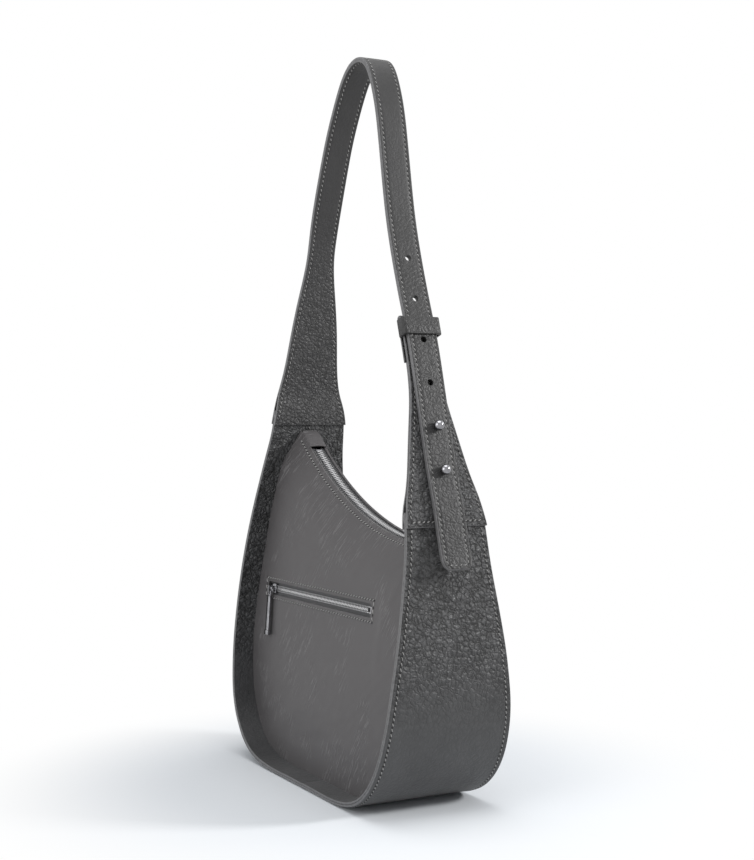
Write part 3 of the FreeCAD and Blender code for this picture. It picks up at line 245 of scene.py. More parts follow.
# zip teeth: bright tips with dark gaps, in bands along an arc or a straight zip; the dark gaps are partly the
# dark cord and partly painted shade between the teeth
def teethFinish(name, pitch, centre, radius):
    finish = Finish(name)
    apart = finish.node("ShaderNodeVectorMath", {"operation": "SUBTRACT"}, {0: finish.place, 1: centre})
    parts = finish.node("ShaderNodeSeparateXYZ", {}, {0: apart})
    x, y, z = (Wire(finish, parts.socket.node.outputs[k]) for k in range(3))
    length = x.maths("ARCTAN2", -1.0 * z) * radius if radius else x
    side = y.maths("SIGN") if radius else z.maths("SIGN")
    wave = (length * (2 * math.pi / pitch) + side * (math.pi / 2)).maths("SINE") * 0.5 + 0.5
    # painted shade: dark non-metal bands between the teeth, partly the cord's own dark colour
    gap = wave.ranged(0.05, 0.55)
    worn = finish.noiseAt(900.0, 2.0)
    return finish.shade(
        color=finish.mixed(gap, (0.045, 0.045, 0.047), (0.72, 0.72, 0.73)), metal=gap * 0.9 + 0.05,
        rough=0.46 - gap * 0.2 + worn * 0.1, normal=finish.bumped(worn, 0.3, 0.00005),
    ).material


materials = {
    "smoothLeather": leather("smoothLeather", leatherFinishes["smooth"]),
    "pebbledLeather": leather("pebbledLeather", leatherFinishes["pebbled"]),
    "strapLeather": leather("strapLeather", leatherFinishes["strap"]),
    "edgePaint": plain("edgePaint", (0.080, 0.079, 0.081), (0.135, 0.134, 0.137), 0.42, 0.00012, 420.0),
    "thread": plain("thread", (0.15, 0.147, 0.143), (0.34, 0.333, 0.325), 0.62, 0.0001, 1500.0, sheen=0.4),
    # painted shade: near-black colour for the blobs that stand for the shade inside needle holes
    "needleHoleShade": plain("needleHoleShade", (0.008, 0.008, 0.008), (0.02, 0.02, 0.02), 0.85, 0.0001, 900.0),
    "chrome": plain("chrome", (0.22, 0.22, 0.235), (0.36, 0.36, 0.375), 0.12, 0.00002, 260.0, metal=1.0),
    "zipMetal": plain("zipMetal", (0.36, 0.36, 0.38), (0.60, 0.60, 0.62), 0.28, 0.00005, 700.0, metal=1.0),
    # zip tape: a dark grey woven tape, its colours lowered further as painted shade inside the pocket slot
    "zipTape": woven("zipTape", (0.014, 0.014, 0.015), (0.060, 0.060, 0.063), 0.0011),
    "liningCloth": woven("liningCloth", (0.025, 0.024, 0.026), (0.07, 0.068, 0.072), 0.0007),
}
print("materials made:", len(materials))


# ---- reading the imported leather: where its faces lie

def deselectAll():
    for thing in bpy.context.selected_objects:
        thing.select_set(False)


def cadMesh(nodeName):
    mesh = bmesh.new()
    mesh.from_mesh(frame["nodes"][nodeName].data)
    bmesh.ops.remove_doubles(mesh, verts=mesh.verts, dist=0.002 * mm)
    return mesh


def cadTree(nodeName):
    mesh = cadMesh(nodeName)
    tree = BVHTree.FromBMesh(mesh)
    mesh.free()
    return tree


def treeOf(points):
    tree = KDTree(len(points))
    for number, place in enumerate(points):
        tree.insert(place, number)
    tree.balance()
    return tree


def lastWhere(holds, low, high, rounds):  # halves the span until the largest value that still holds
    for _ in range(rounds):
        middle = (low + high) / 2
        if holds(middle):
            low = middle
        else:
            high = middle
    return low


# closed outlines of a node where a plane cuts it, longest first
def sections(nodeName, point, normal):
    mesh = cadMesh(nodeName)
    parts = mesh.verts[:] + mesh.edges[:] + mesh.faces[:]
    cut = bmesh.ops.bisect_plane(mesh, geom=parts, plane_co=point, plane_no=normal)["geom_cut"]
    links = {}
    for edge in cut:
        if isinstance(edge, bmesh.types.BMEdge):
            first, second = edge.verts
            links.setdefault(first, []).append(second)
            links.setdefault(second, []).append(first)
    loops = []
    seen = set()
    for start in links:
        if start in seen:
            continue
        loop = [start]
        seen.add(start)
        while True:
            onward = [v for v in links[loop[-1]] if v not in seen]
            if not onward:
                break
            loop.append(onward[0])
            seen.add(onward[0])
        loops.append([vert.co.copy() for vert in loop])
    mesh.free()
    return sorted(loops, key=lineLength, reverse=True)


def lineLength(points):
    return sum((after - before).length for before, after in zip(points, points[1:]))


# the two long faces of a band's closed outline, with its square ends left out
def longFaces(loop, sharp=55.0):
    count = len(loop)
    corners = []
    for number in range(count):
        before = loop[number] - loop[number - 1]
        after = loop[(number + 1) % count] - loop[number]
        if before.length > 0 and after.length > 0 and math.degrees(before.angle(after)) > sharp:
            corners.append(number)
    chains = []
    for number, start in enumerate(corners):
        stop = corners[(number + 1) % len(corners)]
        chain = [loop[(start + step) % count] for step in range((stop - start) % count + 1)]
        chains.append(chain)
    return sorted(chains, key=lineLength, reverse=True)[:2]


def evenly(points, spacing):
    total = lineLength(points)
    count = max(2, round(total / spacing))
    wanted = [total * number / count for number in range(count + 1)]
    made = []
    run = 0.0
    index = 0
    for length in wanted:
        while index < len(points) - 2 and run + (points[index + 1] - points[index]).length < length:
            run += (points[index + 1] - points[index]).length
            index += 1
        step = points[index + 1] - points[index]
        share = (length - run) / max(step.length, 1e-9)
        made.append(points[index] + step * min(max(share, 0.0), 1.0))
    return made


def softened(points, rounds):
    made = list(points)
    for _ in range(rounds):
        made = [made[0]] + [
            (made[i - 1] + made[i] * 2 + made[i + 1]) / 4 for i in range(1, len(made) - 1)
        ] + [made[-1]]
    return made


def meanDistance(points, centre):
    return sum((p - centre).length for p in points) / len(points)


# the line a leather band follows: places, directions, outward normals and half widths
class BandLine:
    def __init__(self, nodeName, face, startNear, spacing=3 * mm, rounds=6, cutAt=6 * mm,
                 nearSide=False, longest=False):
        loop = sections(nodeName, Vector((0, cutAt, 0)), Vector((0, 1, 0)))[0]
        chains = longFaces(loop)
        centre = Vector(face)
        if not longest:
            chains.sort(key=lambda chain: -meanDistance(evenly(chain, 4 * mm), centre))
        chain, other = chains[::-1] if nearSide else chains
        start = Vector(startNear)
        if (chain[0] - start).length > (chain[-1] - start).length:
            chain = chain[::-1]
        chain = [Vector((p.x, 0, p.z)) for p in chain]
        self.tree = cadTree(nodeName)
        self.points = softened(evenly(chain, spacing), rounds)
        self.setNormals(other)
        self.extend()
        self.widths = [self.halfWidth(i) for i in range(len(self.points))]
        self.lengths = [0.0]
        for before, after in zip(self.points, self.points[1:]):
            self.lengths.append(self.lengths[-1] + (after - before).length)

    def setNormals(self, other=None):
        count = len(self.points)
        self.along = []
        for i in range(count):
            step = self.points[min(i + 1, count - 1)] - self.points[max(i - 1, 0)]
            self.along.append(step.normalized())
        if other is not None:
            middle = self.points[count // 2]
            behind = min(other, key=lambda p: (Vector((p.x, 0, p.z)) - middle).length)
            away = middle - Vector((behind.x, 0, behind.z))
            side = Vector((-self.along[count // 2].z, 0, self.along[count // 2].x))
            self.hand = 1.0 if side.dot(away) > 0 else -1.0
        self.out = [Vector((-a.z, 0, a.x)) * self.hand for a in self.along]

    def hits(self, i, y):
        origin = self.points[i] + self.out[i] * (1.0 * mm) + Vector((0, y, 0))
        return self.tree.ray_cast(origin, -self.out[i], 2.2 * mm)[0] is not None

    # a rounded end reaches further in the middle than the section it was read from
    def extend(self):
        for _ in range(30):
            self.points.append(self.points[-1] + self.along[-1] * (0.5 * mm))
            self.setNormals()
            if not self.hits(len(self.points) - 1, 0.3 * mm):
                self.points.pop()
                self.setNormals()
                break

    def halfWidth(self, i):
        low = 0.3 * mm if self.hits(i, 0.3 * mm) else 6 * mm
        return lastWhere(lambda y: self.hits(i, y), low, 62 * mm, 18)

    def at(self, length):
        length = min(max(length, 0.0), self.lengths[-1])
        i = max(k for k in range(len(self.lengths)) if self.lengths[k] <= length + 1e-12)
        i = min(i, len(self.points) - 2)
        share = (length - self.lengths[i]) / max(self.lengths[i + 1] - self.lengths[i], 1e-9)
        place = self.points[i].lerp(self.points[i + 1], share)
        out = self.out[i].lerp(self.out[i + 1], share).normalized()
        width = self.widths[i] + (self.widths[i + 1] - self.widths[i]) * share
        return place, out, width


# ---- leather bands: a grid laid along the line, thickened, with its outer rim rounded

bandColumns = [0.0, 0.9, 2.4, 3.2, 4.0, 5.6]  # distances from a long edge, in millimetres


def columnPlaces(width, middleCount):
    known = [c * mm for c in bandColumns]
    if width < known[-1] * 1.25:
        scale = width / (known[-1] * 1.25)
        known = [k * scale for k in known]
    inner = width - known[-1]
    half = [width - k for k in known]
    half += [inner - inner * step / middleCount for step in range(1, middleCount)]
    return half + [0.0] + [-h for h in reversed(half)]


def gridObject(name, across, along):
    deselectAll()
    bpy.ops.mesh.primitive_grid_add(x_subdivisions=across, y_subdivisions=along, size=1.0)
    made = bpy.context.object
    made.name = name
    made.data.name = name
    return made


def pick(thing):
    deselectAll()
    bpy.context.view_layer.objects.active = thing
    thing.select_set(True)


def editing(thing, mode="FACE"):
    pick(thing)
    bpy.ops.object.mode_set(mode="EDIT")
    bpy.ops.mesh.select_mode(type=mode)


def done():
    bpy.ops.object.mode_set(mode="OBJECT")


def facesOut(thing, mode="FACE"):
    editing(thing, mode)
    bpy.ops.mesh.select_all(action="SELECT")
    bpy.ops.mesh.normals_make_consistent(inside=False)
    done()


def applyAll(thing):
    pick(thing)
    for modifier in list(thing.modifiers):
        bpy.ops.object.modifier_apply(modifier=modifier.name)


def smoothByAngle(thing, degrees=40):
    pick(thing)
    bpy.ops.object.shade_smooth_by_angle(angle=math.radians(degrees))


def addModifier(thing, kind, **settings):
    made = thing.modifiers.new(kind.lower(), kind)
    for key, value in settings.items():
        setattr(made, key, value)
    return made


def channelDepth(fromEdge, depth):
    return depth * math.exp(-((fromEdge / mm - 3.2) / 0.55) ** 2)


def leatherBand(name, line, sizes):
    middle = sizes.get("middleColumns", 4)
    count = len(line.points)
    columns = 2 * (len(bandColumns) + middle - 1) + 1
    band = gridObject(name, columns - 1, count - 1)
    vertices = band.data.vertices
    thick = sizes["thickness"] * mm
    places = []
    inner = []
    for i in range(count):
        row = columnPlaces(line.widths[i], middle)
        for y in row:
            base = line.points[i] + Vector((0, y, 0))
            wave = sizes["wave"](base) if "wave" in sizes else 0.0
            crown = sizes.get("crown", 0.0) * mm * (1 - (y / max(line.widths[i], 1e-6)) ** 2)
            dent = channelDepth(line.widths[i] - abs(y), sizes.get("channel", 0.0) * mm)
            places.append(base + line.out[i] * (wave + crown - dent))
            inner.append(base + line.out[i] * (wave - thick))
    for vertex, place in zip(vertices, places):
        vertex.co = place
    editing(band)
    bpy.ops.mesh.select_all(action="SELECT")
    bpy.ops.mesh.extrude_region()
    done()
    # after the extrude the new, selected vertices are the other face
    tops = [v for v in band.data.vertices if v.select]
    outerTree = treeOf(places)
    for vertex in tops:
        vertex.co = inner[outerTree.find(vertex.co)[1]]
    facesOut(band, "EDGE")
    roundRims(band, line, sizes)
    smoothByAngle(band, 50)
    band.data.materials.append(materials[sizes["leather"]])
    band.data.materials.append(materials["edgePaint"])
    paintRims(band, line)
    return band


# rims are the edges between a broad face and a cut side
def roundRims(band, line, sizes):
    mesh = bmesh.new()
    mesh.from_mesh(band.data)
    chosen = []
    lineTree = treeOf(line.points)
    for edge in mesh.edges:
        edge.select = False
        if len(edge.link_faces) == 2 and edge.calc_face_angle(0.0) > math.radians(60):
            middle = (edge.verts[0].co + edge.verts[1].co) / 2
            i = lineTree.find(Vector((middle.x, 0, middle.z)))[1]
            depth = (middle - line.points[i]).dot(line.out[i])
            outer = depth > -sizes["thickness"] * mm / 2
            along = abs((edge.verts[0].co - edge.verts[1].co).normalized().dot(line.out[i])) < 0.5
            if along and (outer or sizes.get("roundInner")):
                chosen.append(edge.index)
    mesh.free()
    editing(band, "EDGE")
    bpy.ops.mesh.select_all(action="DESELECT")
    done()
    for index in chosen:
        band.data.edges[index].select = True
    editing(band, "EDGE")
    bpy.ops.mesh.bevel(offset=sizes.get("rim", 0.7) * mm, segments=3, profile=0.5, clamp_overlap=True)
    done()


def paintRims(band, line, limit=0.80):
    lineTree = treeOf(line.points)
    for polygon in band.data.polygons:
        i = lineTree.find(Vector((polygon.center.x, 0, polygon.center.z)))[1]
        polygon.material_index = 1 if abs(polygon.normal.dot(line.out[i])) < limit else 0


# ---- stitches: one thread and one dark blob of painted shade for its needle hole, copied along a seam

threadSizes = {"length": 2.7, "radius": 0.36, "rise": 0.16, "slant": 24.0,
               "holeLength": 1.0, "holeWidth": 0.78, "holeDepth": 0.26}


def makeThread():
    deselectAll()
    half = threadSizes["length"] * mm / 2
    radius = threadSizes["radius"] * mm
    bpy.ops.mesh.primitive_cylinder_add(
        vertices=6, radius=radius, depth=2 * half, rotation=(0, math.pi / 2, 0)
    )
    thread = bpy.context.object
    bpy.ops.object.transform_apply(location=False, rotation=True, scale=False)
    editing(thread, "EDGE")
    for place in (-0.62, 0.0, 0.62):
        bpy.ops.mesh.select_all(action="SELECT")
        bpy.ops.mesh.bisect(plane_co=(place * half, 0, 0), plane_no=(1, 0, 0))
    done()
    for vertex in thread.data.vertices:
        share = abs(vertex.co.x) / half
        vertex.co.y *= 1 - 0.45 * share ** 3
        vertex.co.z *= 1 - 0.45 * share ** 3
        vertex.co.z += (threadSizes["rise"] - 0.42 * share ** 3) * mm
    smoothByAngle(thread, 60)
    thread.data.materials.append(materials["thread"])
    thread.data.materials.append(materials["needleHoleShade"])
    return thread


# the needle hole is a flat near-black blob set on the leather: painted shade, not a cut hole
def makeHoleShade():
    deselectAll()
    bpy.ops.mesh.primitive_ico_sphere_add(subdivisions=1, radius=1.0)
    hole = bpy.context.object
    for vertex in hole.data.vertices:
        vertex.co.x *= threadSizes["holeLength"] * mm
        vertex.co.y *= threadSizes["holeWidth"] * mm
        vertex.co.z *= threadSizes["holeDepth"] * mm
    return hole


threadModel = makeThread()
holeShadeModel = makeHoleShade()


def copyInto(mesh, model, matrix, materialIndex):
    made = [mesh.verts.new(matrix @ vertex.co) for vertex in model.data.vertices]
    for polygon in model.data.polygons:
        face = mesh.faces.new([made[v] for v in polygon.vertices])
        face.material_index = materialIndex
        face.smooth = True


# places and normals along a seam; each stitch leans a little the same way
def stitchRow(name, points, normals, body="bag", pitch=4.0, scale=1.0):
    pitch = pitch * mm
    lean = math.radians(threadSizes["slant"])
    lengths = [0.0]
    for before, after in zip(points, points[1:]):
        lengths.append(lengths[-1] + (after - before).length)
    count = max(1, int(lengths[-1] / pitch))
    step = lengths[-1] / count
    mesh = bmesh.new()
    index = 0
    for number in range(count):
        wanted = (number + 0.5) * step
        while index < len(points) - 2 and lengths[index + 1] < wanted:
            index += 1
        share = (wanted - lengths[index]) / max(lengths[index + 1] - lengths[index], 1e-9)
        place = points[index].lerp(points[index + 1], share)
        up = normals[index].lerp(normals[index + 1], share).normalized()
        forward = (points[index + 1] - points[index]).normalized()
        forward = (forward - up * forward.dot(up)).normalized()
        side = up.cross(forward)
        wobble = noise.noise(place * 900.0) * 0.05
        turned = forward * math.cos(lean + wobble) + side * math.sin(lean + wobble)
        across = up.cross(turned)
        basis = Matrix((turned, across, up)).transposed().to_4x4()
        spot = Matrix.Translation(place) @ basis @ Matrix.Scale(scale, 4)
        copyInto(mesh, threadModel, spot, 0)
        end = place + forward * step / 2
        # painted shade of the needle hole at the stitch's end
        copyInto(mesh, holeShadeModel, Matrix.Translation(end) @ basis @ Matrix.Scale(scale, 4), 1)
    data = bpy.data.meshes.new(name)
    mesh.to_mesh(data)
    mesh.free()
    data.materials.append(materials["thread"])
    data.materials.append(materials["needleHoleShade"])
    row = bpy.data.objects.new(name, data)
    bpy.context.scene.collection.objects.link(row)
    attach(row, body)


# a seam along a band, a set distance in from one long edge
def bandSeam(line, side, fromEdge, start, stop, lift=0.0, wave=None):
    points, normals = [], []
    for i, place in enumerate(line.points):
        if start <= line.lengths[i] <= stop:
            y = side * (line.widths[i] - fromEdge * mm)
            base = place + Vector((0, y, 0))
            rise = (wave(base) if wave else 0.0) + lift * mm
            points.append(base + line.out[i] * rise)
            normals.append(line.out[i])
    return points, normals


# ---- gussets: two layers of pebbled leather with painted edges

def gussetWave(place):
    return 0.55 * mm * noise.noise(place * 11.0) + 0.25 * mm * noise.noise(place * 34.0 + Vector((3, 1, 7)))


gussetSizes = {
    "outer": {"thickness": 2.0, "leather": "pebbledLeather", "rim": 0.7, "roundInner": True,
              "middleColumns": 9, "channel": 0.28, "wave": gussetWave},
    "facing": {"thickness": 1.8, "leather": "pebbledLeather", "rim": 0.6, "roundInner": True,
               "middleColumns": 9, "channel": 0.0, "wave": gussetWave},
    "seamFromEdge": 4.2, "pitch": 4.0, "crossSeam": 3.0,
}

bodyMiddle = (0.0, 0.0, 0.12)
edges = ((-1, "Front"), (1, "Back"))
for side in ("left", "right"):
    start = (0, 0, 0)
    outer = BandLine("gusset_" + side, bodyMiddle, start, cutAt=3 * mm, spacing=4 * mm)
    facing = BandLine("gusset_" + side + "_facing", bodyMiddle, start, cutAt=3 * mm, spacing=4 * mm)
    layers = (("Outer", outer, "gusset_" + side), ("Facing", facing, "gusset_" + side + "_facing"))
    for word, line, node in layers:
        piece = leatherBand("gusset" + side.capitalize() + word, line, gussetSizes[word.lower()])
        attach(piece, "bag")
        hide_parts(node)
    for edge, word in edges:
        points, normals = bandSeam(
            outer, edge, gussetSizes["seamFromEdge"], gussetSizes["crossSeam"] * mm, outer.lengths[-1],
            wave=gussetWave,
        )
        stitchRow("gusset" + side.capitalize() + "Stitches" + word, points, normals,
                  pitch=gussetSizes["pitch"])
print("gussets made")


# ---- the strap, in an outer and an inner layer

strapSizes = {
    "outer": {"thickness": 2.0, "leather": "strapLeather", "rim": 0.75, "middleColumns": 3,
              "channel": 0.32, "crown": 0.15},
    "inner": {"thickness": 2.0, "leather": "strapLeather", "rim": 0.75, "middleColumns": 3,
              "channel": 0.28, "crown": 0.1},
    "seamFromEdge": 3.2, "pitch": 4.0, "holeDiameter": 5.0,
}
tabSizes = {
    "outer": {"thickness": 2.0, "leather": "pebbledLeather", "rim": 0.7, "middleColumns": 4, "channel": 0.3},
    "inner": {"thickness": 2.0, "leather": "pebbledLeather", "rim": 0.7, "middleColumns": 4, "channel": 0.28},
    "seamFromEdge": 3.2, "pitch": 4.0, "endSeam": 4.0,
}

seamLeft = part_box("gusset_left")[1].z
strapMiddle = (0.0, 0.0, seamLeft)
leftFoot = Vector((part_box("gusset_left")[0].x, 0, seamLeft))
strapOuterLine = BandLine("strap_outer", strapMiddle, leftFoot)
strapInnerLine = BandLine("strap_inner", strapMiddle, leftFoot, nearSide=True)
strapPieces = []
for word, line, node in (("Outer", strapOuterLine, "strap_outer"), ("Inner", strapInnerLine, "strap_inner")):
    piece = leatherBand("strap" + word, line, strapSizes[word.lower()])
    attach(piece, "bag")
    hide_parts(node)
    strapPieces.append(piece)
print("strap made")


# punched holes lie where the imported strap's middle section is broken
def holeLengths(nodeName, line):
    tree = treeOf(line.points)
    spans = []
    for loop in sections(nodeName, Vector((0, 0.05 * mm, 0)), Vector((0, 1, 0))):
        found = [line.lengths[tree.find(Vector((p.x, 0, p.z)))[1]] for p in loop]
        spans.append((min(found), max(found)))
    spans.sort()
    return [(before[1] + after[0]) / 2 for before, after in zip(spans, spans[1:])]


def cutWith(thing, cutter):
    addModifier(thing, "BOOLEAN", object=cutter, operation="DIFFERENCE", solver="EXACT")
    applyAll(thing)


holes = holeLengths("strap_outer", strapOuterLine)
for length in holes:
    place, out, width = strapOuterLine.at(length)
    deselectAll()
    turn = out.to_track_quat("Z", "Y").to_euler()
    bpy.ops.mesh.primitive_cylinder_add(
        vertices=28, radius=strapSizes["holeDiameter"] * mm / 2, depth=16 * mm, location=place, rotation=turn
    )
    cutter = bpy.context.object
    for piece in strapPieces:
        cutWith(piece, cutter)
    bpy.data.objects.remove(cutter)
print("strap holes:", len(holes))


# a line set in from an outline that is drawn in lengths along the band and widths across it
def roundedSeam(line, fromEdge, start):
    outline = [Vector((line.lengths[i], line.widths[i], 0)) for i in range(len(line.points))
               if line.lengths[i] >= start]
    outline += [Vector((p.x, -p.y, 0)) for p in reversed(outline)]
    outline = evenly(outline, 1.0 * mm)
    tree = treeOf(outline)
    made = []
    for number in range(1, len(outline) - 1):
        step = (outline[number + 1] - outline[number - 1]).normalized()
        point = outline[number] + Vector((step.y, -step.x, 0)) * fromEdge * mm
        if tree.find(point)[2] > 0.96 * fromEdge * mm:
            made.append(point)
    return softened(made, 3)


def onBand(line, points, lift=0.0):
    places, normals = [], []
    for point in points:
        place, out, width = line.at(point.x)
        places.append(place + Vector((0, point.y, 0)) + out * lift * mm)
        normals.append(out)
    return places, normals


seam = roundedSeam(strapOuterLine, strapSizes["seamFromEdge"], 6 * mm)
places, normals = onBand(strapOuterLine, seam, -0.2)
stitchRow("strapStitchesOuter", places, normals, pitch=strapSizes["pitch"])
for edge, word in edges:
    places, normals = bandSeam(strapInnerLine, edge, strapSizes["seamFromEdge"], 6 * mm,
                               strapInnerLine.lengths[-1] - 4 * mm, lift=-0.18)
    stitchRow("strapStitchesInner" + word, places, normals, pitch=strapSizes["pitch"])


# ---- the tab, whose outer layer folds in over the keeper

rightFoot = Vector((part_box("gusset_right")[1].x, 0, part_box("tab_outer")[0].z))
tabMiddle = (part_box("tab_outer")[0].x - 0.1, 0.0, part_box("tab_outer")[0].z)
tabOuterLine = BandLine("tab_outer", tabMiddle, rightFoot, spacing=2 * mm, rounds=2, longest=True)
tabInnerLine = BandLine("tab_inner", tabMiddle, rightFoot, nearSide=True)
for word, line, node in (("Outer", tabOuterLine, "tab_outer"), ("Inner", tabInnerLine, "tab_inner")):
    piece = leatherBand("tab" + word, line, tabSizes[word.lower()])
    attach(piece, "bag")
    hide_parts(node)
foldLength = next(
    length for length, place in zip(tabOuterLine.lengths, tabOuterLine.points)
    if place.z >= max(p.z for p in tabOuterLine.points) - 4 * mm
)
for edge, word in edges:
    places, normals = bandSeam(tabOuterLine, edge, tabSizes["seamFromEdge"], 5 * mm, foldLength, lift=-0.16)
    stitchRow("tabStitches" + word, places, normals, pitch=tabSizes["pitch"])
place, out, width = tabOuterLine.at(tabSizes["endSeam"] * mm)
count = 24
across = [Vector((tabSizes["endSeam"] * mm, (width - 4 * mm) * (1 - 2 * k / count), 0))
          for k in range(count + 1)]
places, normals = onBand(tabOuterLine, across, 0.0)
stitchRow("tabStitchesEnd", places, normals, pitch=tabSizes["pitch"])
print("tab made")


# ---- panels: a grid drawn over the region inside the gusset, curved about the zip's arc

zipJoint = next(joint for joint in frame["joints"] if joint["name"] == "main_zip_run")
arcCentre = Vector(zipJoint["pos_m"])
panelSizes = {
    "columns": 120, "rows": 96, "thickness": 1.6,
    "lipDrops": [0.0, 0.12, 0.5, 1.1, 1.9, 2.9, 4.2, 6.0, 8.2, 11.0],
    "seamDrop": 4.1, "seamScale": 1.2, "pitch": 3.9, "calmEdge": 9.0,
    "corners": ((-1, 1.6), (1, 0.9), (1, -1), (-1, -1)),
}


class PanelShape:
    def __init__(self, nodeName, side):
        self.side = side
        self.tree = cadTree(nodeName)
        self.low, self.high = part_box(nodeName)
        self.readSection(nodeName)
        self.readOutline()

    # how far out the panel stands, by distance below the zip's arc
    def readSection(self, nodeName):
        loop = sections(nodeName, arcCentre, Vector((1, 0, 0)))[0]
        table = {}
        self.radius = min(arcCentre.z - p.z for p in loop)
        for p in loop:
            drop = arcCentre.z - p.z - self.radius
            key = round(drop / (0.25 * mm))
            out = p.y * self.side
            if key not in table or out > table[key][1]:
                table[key] = (drop, out)
        rows = sorted(table.values())
        self.section = [rows[0]]
        for number in range(1, len(rows)):
            near = [r for r in rows if abs(r[0] - rows[number][0]) < 9 * mm]
            best = max(near, key=lambda r: r[1])
            if rows[number][1] > best[1] - 1.2 * mm:
                self.section.append(rows[number])

    def outAt(self, drop):
        if drop <= self.section[0][0]:
            return self.section[0][1]
        for before, after in zip(self.section, self.section[1:]):
            if before[0] <= drop <= after[0]:
                share = (drop - before[0]) / max(after[0] - before[0], 1e-9)
                share = min(max(share, 0), 1)
                return before[1] + (after[1] - before[1]) * share
        return self.section[-1][1]

    def covers(self, x, z):
        origin = Vector((x, self.side * 0.2, z))
        return self.tree.ray_cast(origin, Vector((0, -self.side, 0)))[0] is not None

    def readOutline(self):
        self.centre = Vector(((self.low.x + self.high.x) / 2 - 10 * mm, 0, 0.10))
        self.outline = []
        for number in range(420):
            turn = 2 * math.pi * number / 420
            way = Vector((math.cos(turn), 0, math.sin(turn)))
            far = 0.34
            while far > 0 and not self.covers(*(self.centre + way * far).xz):
                far -= 3 * mm
            near = lastWhere(lambda reach: self.covers(*(self.centre + way * reach).xz), far, far + 3 * mm, 9)
            self.outline.append(self.centre + way * near)

    def sides(self):
        cuts = []
        for x, z in panelSizes["corners"]:
            reach = [p.x * x + p.z * z for p in self.outline]
            cuts.append(reach.index(max(reach)))

        def between(start, stop, forward):
            count = len(self.outline)
            made = [self.outline[start]]
            k = start
            while k != stop:
                k = (k + (1 if forward else -1)) % count
                made.append(self.outline[k])
            return made
        topLeft, topRight, lowRight, lowLeft = cuts
        top = between(topLeft, topRight, False)
        low = between(lowLeft, lowRight, True)
        left = between(topLeft, lowLeft, True)
        right = between(topRight, lowRight, False)
        return top, low, left, right


def pointAlong(points, lengths, share):
    wanted = lengths[-1] * share
    for k in range(len(points) - 1):
        if lengths[k + 1] >= wanted or k == len(points) - 2:
            part = (wanted - lengths[k]) / max(lengths[k + 1] - lengths[k], 1e-12)
            return points[k].lerp(points[k + 1], min(max(part, 0.0), 1.0))


def lengthsOf(points):
    made = [0.0]
    for before, after in zip(points, points[1:]):
        made.append(made[-1] + (after - before).length)
    return made


wrinkleSizes = {
    # soft folds: place (x, z), direction in degrees, length, width, height, all lengths in millimetres
    "folds": [
        ((-62, 232), -38, 62, 7.0, 0.9), ((-38, 214), -33, 70, 6.5, -0.8), ((-10, 196), -24, 80, 8.0, 0.8),
        ((34, 186), -12, 72, 7.0, -0.7), ((70, 182), -4, 56, 6.0, 0.7), ((-84, 206), -58, 50, 6.0, 0.7),
        ((-96, 150), -72, 60, 8.0, -0.8), ((96, 160), 62, 52, 8.0, 0.7), ((-60, 48), 24, 74, 9.0, 0.9),
        ((-18, 34), 12, 80, 8.0, -0.8), ((44, 36), -10, 76, 8.0, 0.9), ((92, 52), -34, 56, 8.0, -0.7),
        ((-104, 74), 58, 56, 8.0, 0.8), ((12, 90), 6, 96, 12.0, 0.5), ((-20, 174), -16, 84, 5.0, 0.5),
        ((58, 120), -22, 70, 10.0, -0.5),
    ],
    "fineHeight": 0.22, "fineScale": (28.0, 120.0), "fineTurn": 34.0, "broadHeight": 1.2, "broadScale": 9.0,
    "foldShare": 0.55,
}


def wrinkleHeight(x, z):
    height = 0.0
    for (cx, cz), turn, length, width, rise in wrinkleSizes["folds"]:
        dx, dz = x / mm - cx, z / mm - cz
        c, s = math.cos(math.radians(turn)), math.sin(math.radians(turn))
        along = dx * c + dz * s
        across = -dx * s + dz * c + 0.0045 * along * along * (1 if rise > 0 else -1) * 0.5
        fall = math.exp(-(along / length * 1.9) ** 2 - (across / width * 1.5) ** 2)
        height += wrinkleSizes["foldShare"] * rise * fall
    c, s = math.cos(math.radians(wrinkleSizes["fineTurn"])), math.sin(math.radians(wrinkleSizes["fineTurn"]))
    u, v = x * c + z * s, -x * s + z * c
    lengthwise, crosswise = wrinkleSizes["fineScale"]
    bend = noise.noise(Vector((x * 30, 5.0, z * 30))) * 0.5
    fine = noise.noise(Vector((u * lengthwise, 0.0, v * crosswise + bend)))
    height += wrinkleSizes["fineHeight"] * (abs(fine) * 2 - 0.5)
    height += wrinkleSizes["broadHeight"] * noise.noise(Vector((x, 3.0, z)) * wrinkleSizes["broadScale"])
    return height * mm


slotBox = (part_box("pocket_zip_tape_upper"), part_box("pocket_zip_tape_lower"))
slotLow = Vector([min(a, b) for a, b in zip(slotBox[0][0], slotBox[1][0])])
slotHigh = Vector([max(a, b) for a, b in zip(slotBox[0][1], slotBox[1][1])])


def calmNearSlot(x, z):
    dx = max(slotLow.x - x, 0.0, x - slotHigh.x)
    dz = max(slotLow.z - z, 0.0, z - slotHigh.z)
    return min(1.0, (math.hypot(dx, dz) / (11 * mm)) ** 2)


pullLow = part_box("pocket_zip_pull")[0][2] - 3 * mm


def clearOfPull(x, z, lift):  # where the pull passes the leather only sinks
    dx = max(slotLow.x - x, 0.0, x - slotHigh.x)
    dz = max(pullLow - z, 0.0, z - slotHigh.z)
    away = min(1.0, math.hypot(dx, dz) / (10 * mm))
    return lift * away + min(lift, 0.0) * (1 - away)


